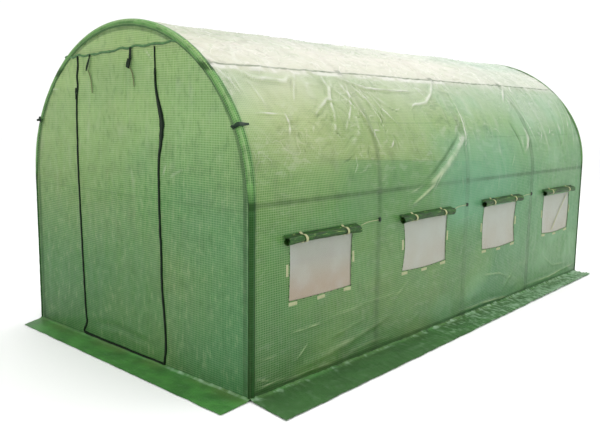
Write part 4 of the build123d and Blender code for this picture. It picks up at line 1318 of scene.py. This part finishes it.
# the tunnel's corners that a flap runs between, its outer edge's ends, pleats at the start and the end, seed
skirts = {
    "skirtFront": ("skirt_front", (-1, -1), (1, -1), (-0.93, -2.155), (1.02, frontOuter), 0.05, 0.16, 201),
    "skirtRight": ("skirt_right", (1, -1), (1, 1), (1.277, -2.04), (1.126, 2.04), 0.36, 1.0, 202),
    "skirtLeft": ("skirt_left", (-1, -1), (-1, 1), (-1.277, -1.815), (-1.126, 2.04), 0.25, 0.8, 203),
    "skirtRear": ("skirt_rear", (-1, 1), (1, 1), (-0.93, 2.155), (0.915, 2.203), 0.2, 0.5, 204),
}
for skirtName, (node, cornerA, cornerB, outerA, outerB, pleatA, pleatB, seed) in skirts.items():
    innerA, innerB = np.array([cornerA, cornerB]) * (halfWidth, halfLength)
    outerA, outerB = np.array([outerA, outerB])
    span = np.linalg.norm(innerB - innerA)
    share = np.linspace(0, 1, int(span / skirt["mesh"]))[:, None]
    over = np.linspace(0, 1, 26)
    inner, outer = innerA + (innerB - innerA) * share, outerA + (outerB - outerA) * share
    wide = np.linalg.norm(outer - inner, axis=-1, keepdims=True)
    run, reach = np.broadcast_arrays(share * span, wide * over)
    pleats = pleatA + (pleatB - pleatA) * ease(share, 0.25, 0.85)
    pleat = 1 - abs(ripple(run + 0.35 * reach, reach, 0.032, 0.13, seed))
    across = 1 - abs(ripple(run, reach, 0.3, 0.05, seed + 30))
    wave = 0.5 + 0.5 * ripple(run, reach, 0.25, 0.2, seed + 10)
    height = skirt["lift"] + (skirt["pleat"] * pleat ** 4 + skirt["fold"] * across ** 6 + skirt["wave"] * wave) * pleats
    height = height + skirt["foot"] * np.exp(-reach / 0.008)
    # the crease value is painted on the flap: painted highlight on pleat ridges and painted shade beside them
    crease = pleats * (1.4 * pleat ** 4 - 0.9 * (1 - pleat) * (pleats > 0.3)) + 0.4 * pleats * across ** 12
    # a puckered seam along the wall
    pucker = ripple(run, reach, 0.07, 0.025, seed + 40) * 0.9 * np.exp(-reach / 0.04)
    pucker = pucker * (1 if skirtName == "skirtRight" else 0.35)
    if skirtName == "skirtFront":  # the hem beside the door's right foot, with a painted highlight along it
        hem = 0.7 + 0.5 * ripple(run, 0 * run, 0.05, 1.0, seed + 50)
        pucker = pucker + hem * np.exp(-(reach / 0.014) ** 2) * ease(share, 0.66, 0.69)
    height = height + skirt["pucker"] * np.clip(pucker, 0, 1)
    # painted highlight on the puckers and painted shade right along the wall
    crease = np.clip(crease + pucker - 0.5 * np.exp(-reach / 0.006), -1, 1)
    wobble = skirt["wobble"] * ripple(run, 0 * run, 0.12, 1.0, seed + 20) * over
    flat = inner[:, None] + ((outer - inner) / wide)[:, None] * (reach + wobble)[..., None]
    x, y, wide = flat[..., 0], flat[..., 1], float(wide.max())
    piece = Piece(skirtName)
    piece.grid(join(x, y, height), join(run, reach, 0), crease, flip=skirtName in ("skirtFront", "skirtLeft"))
    made = piece.make(skirtFilm, "skirt_film", [node], sharp=60)
    area = round(min(float(flatArea(join(x, y, 0)).sum()), wide * span), 3)
print("ground flaps are laid")

# frame
frameLook = {"steel": (22, 62, 28), "steelWorn": (62, 96, 58)}


def steelMaterial():
    g = Graph("coatedSteel", frameLook)
    speck = g.noise(160.0, 2.0)
    worn = g.rise(g.noise(12.0, 6.0, 0.7), 0.56, 0.7)
    g.colour = g.mix(worn * 0.7, "steel", "steelWorn")
    return g.finish(g.surface(0.34 + speck * 0.15, g.bump(speck, 0.0002, 0.6), {
        "Metallic": worn * 0.5, "Coat Weight": 0.4, "Coat Roughness": 0.15}))


coatedSteel = steelMaterial()
archRadius = crownRadius - frameInset
ring = circle(tubeRadius)
for name, row in zip(archNames, archRows):
    run, sign, x, z, outX, outZ = overArch(waistHeight, 0.03)
    bow = Piece("archTube" + name.split("_")[1].title())
    bow.rod(join(sign * (x - outX * frameInset), row, z - outZ * frameInset), ring, (0, 1, 0))
    bow.make(coatedSteel, "tube_steel", [name])

legTop = waistHeight - 0.0003
straightRuns = {
    "legTubesRight": ("legs_right", [((archX, row, 0), (archX, row, legTop)) for row in archRows]),
    "legTubesLeft": ("legs_left", [((-archX, row, 0), (-archX, row, legTop)) for row in archRows]),
}
for end, row in (("front", archRows[0]), ("rear", archRows[-1])):
    node = end + "_crossbar"
    straightRuns[end + "CrossbarTube"] = (node, [tuple((corner.x, row, headerHeight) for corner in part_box(node))])
bayGap = 0.0153  # the crosses' inner radius and a little more
for node in ("ridge_purlin", "upper_purlin_right", "upper_purlin_left", "waist_purlin_right", "waist_purlin_left",
             "base_rail_right", "base_rail_left"):
    at = middle(node)
    first, *words = node.split("_")
    runs = [((at.x, near + bayGap, at.z), (at.x, far - bayGap, at.z)) for near, far in zip(archRows, archRows[1:])]
    straightRuns[first + "".join(word.title() for word in words) + "Tube"] = (node, runs)
for name, (node, runs) in straightRuns.items():
    bars = Piece(name)
    for start, end in runs:
        bars.rod(np.linspace(start, end, 3), ring, (0, 0, 1) if start[2] == end[2] else (1, 0, 0))
    bars.make(coatedSteel, "tube_steel", [node])

# moulded crosses: a sleeve with a collar at each mouth
collar = {"radius": 0.0153, "lip": 0.0168, "lipLength": 0.006, "reach": 0.042, "teeReach": 0.07, "endReach": 0.015}
lipCuts = np.array([0.0055, 0.0065])  # close to each mouth, for the lips


def sleeve(piece, line, side):
    # a moulded sleeve along a line, thicker at both mouths
    run = np.append(0, np.cumsum(np.linalg.norm(np.diff(line, axis=0), axis=1)))
    size = np.where(np.minimum(run, run[-1] - run) < collar["lipLength"], collar["lip"], collar["radius"])
    piece.rod(line, scaled(circle(1.0, 16), size, size), side)


def straightSleeve(piece, start, end, side):
    start, end = np.array(start, float), np.array(end, float)
    length = np.linalg.norm(end - start)
    cuts = np.concatenate([[0], lipCuts, [length / 2], length - lipCuts[::-1], [length]]) / length
    sleeve(piece, start + (end - start) * cuts[:, None], side)


def lengthwiseSleeve(piece, x, z, row, side):
    near = max(row - collar["reach"], archRows[0] - collar["endReach"])
    far = min(row + collar["reach"], archRows[-1] + collar["endReach"])
    straightSleeve(piece, (x, near, z), (x, far, z), side)


def arcSleeve(piece, row, turn, reach):
    cuts = np.concatenate([[-1], lipCuts / reach - 1, [-0.4, 0, 0.4], 1 - lipCuts[::-1] / reach, [1]])
    cuts = cuts * reach / archRadius + turn
    sleeve(piece, join(archRadius * np.cos(cuts), row, crownZ + archRadius * np.sin(cuts)), (0, 1, 0))


railHeight, footHigh = middle("base_rail_right").z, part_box("foot_fittings")[1].z
for name, node, z, low, high in (
        ("waistCrosses", "waist_fittings", waistHeight, waistHeight - collar["reach"], springHeight),
        ("footCrosses", "foot_fittings", railHeight, 0.0015, footHigh)):
    made = Piece(name)
    for row in archRows:
        for x in (archX, -archX):
            lengthwiseSleeve(made, x, z, row, (0, 0, 1))
            straightSleeve(made, (x, row, low), (x, row, high), (1, 0, 0))
    made.make(fittingPlastic, "fitting_plastic", [node])
for name, node, turns in (("ridgeCrosses", "ridge_fittings", [math.pi / 2]),
                          ("upperCrosses", "upper_fittings", [tunnel["upperTurn"], math.pi - tunnel["upperTurn"]])):
    made = Piece(name)
    for row in archRows:
        for turn in turns:
            arcSleeve(made, row, turn, collar["reach"])
            outX, outZ = math.cos(turn), math.sin(turn)
            lengthwiseSleeve(made, archRadius * outX, crownZ + archRadius * outZ, row, (outX, 0, outZ))
    made.make(fittingPlastic, "fitting_plastic", [node])
tees = Piece("crossbarTees")
barTurn = math.asin((headerHeight - crownZ) / archRadius)
inner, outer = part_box("front_crossbar")[1].x - collar["reach"], archRadius * math.cos(barTurn) - 0.004
for row in (archRows[0], archRows[-1]):
    for side, turn in ((1, barTurn), (-1, math.pi - barTurn)):
        arcSleeve(tees, row, turn, collar["teeReach"])
        straightSleeve(tees, (side * inner, row, headerHeight), (side * outer, row, headerHeight), (0, 0, 1))
tees.make(fittingPlastic, "fitting_plastic", ["crossbar_fittings"])
print("frame is up")

# closing
print("scene is built")
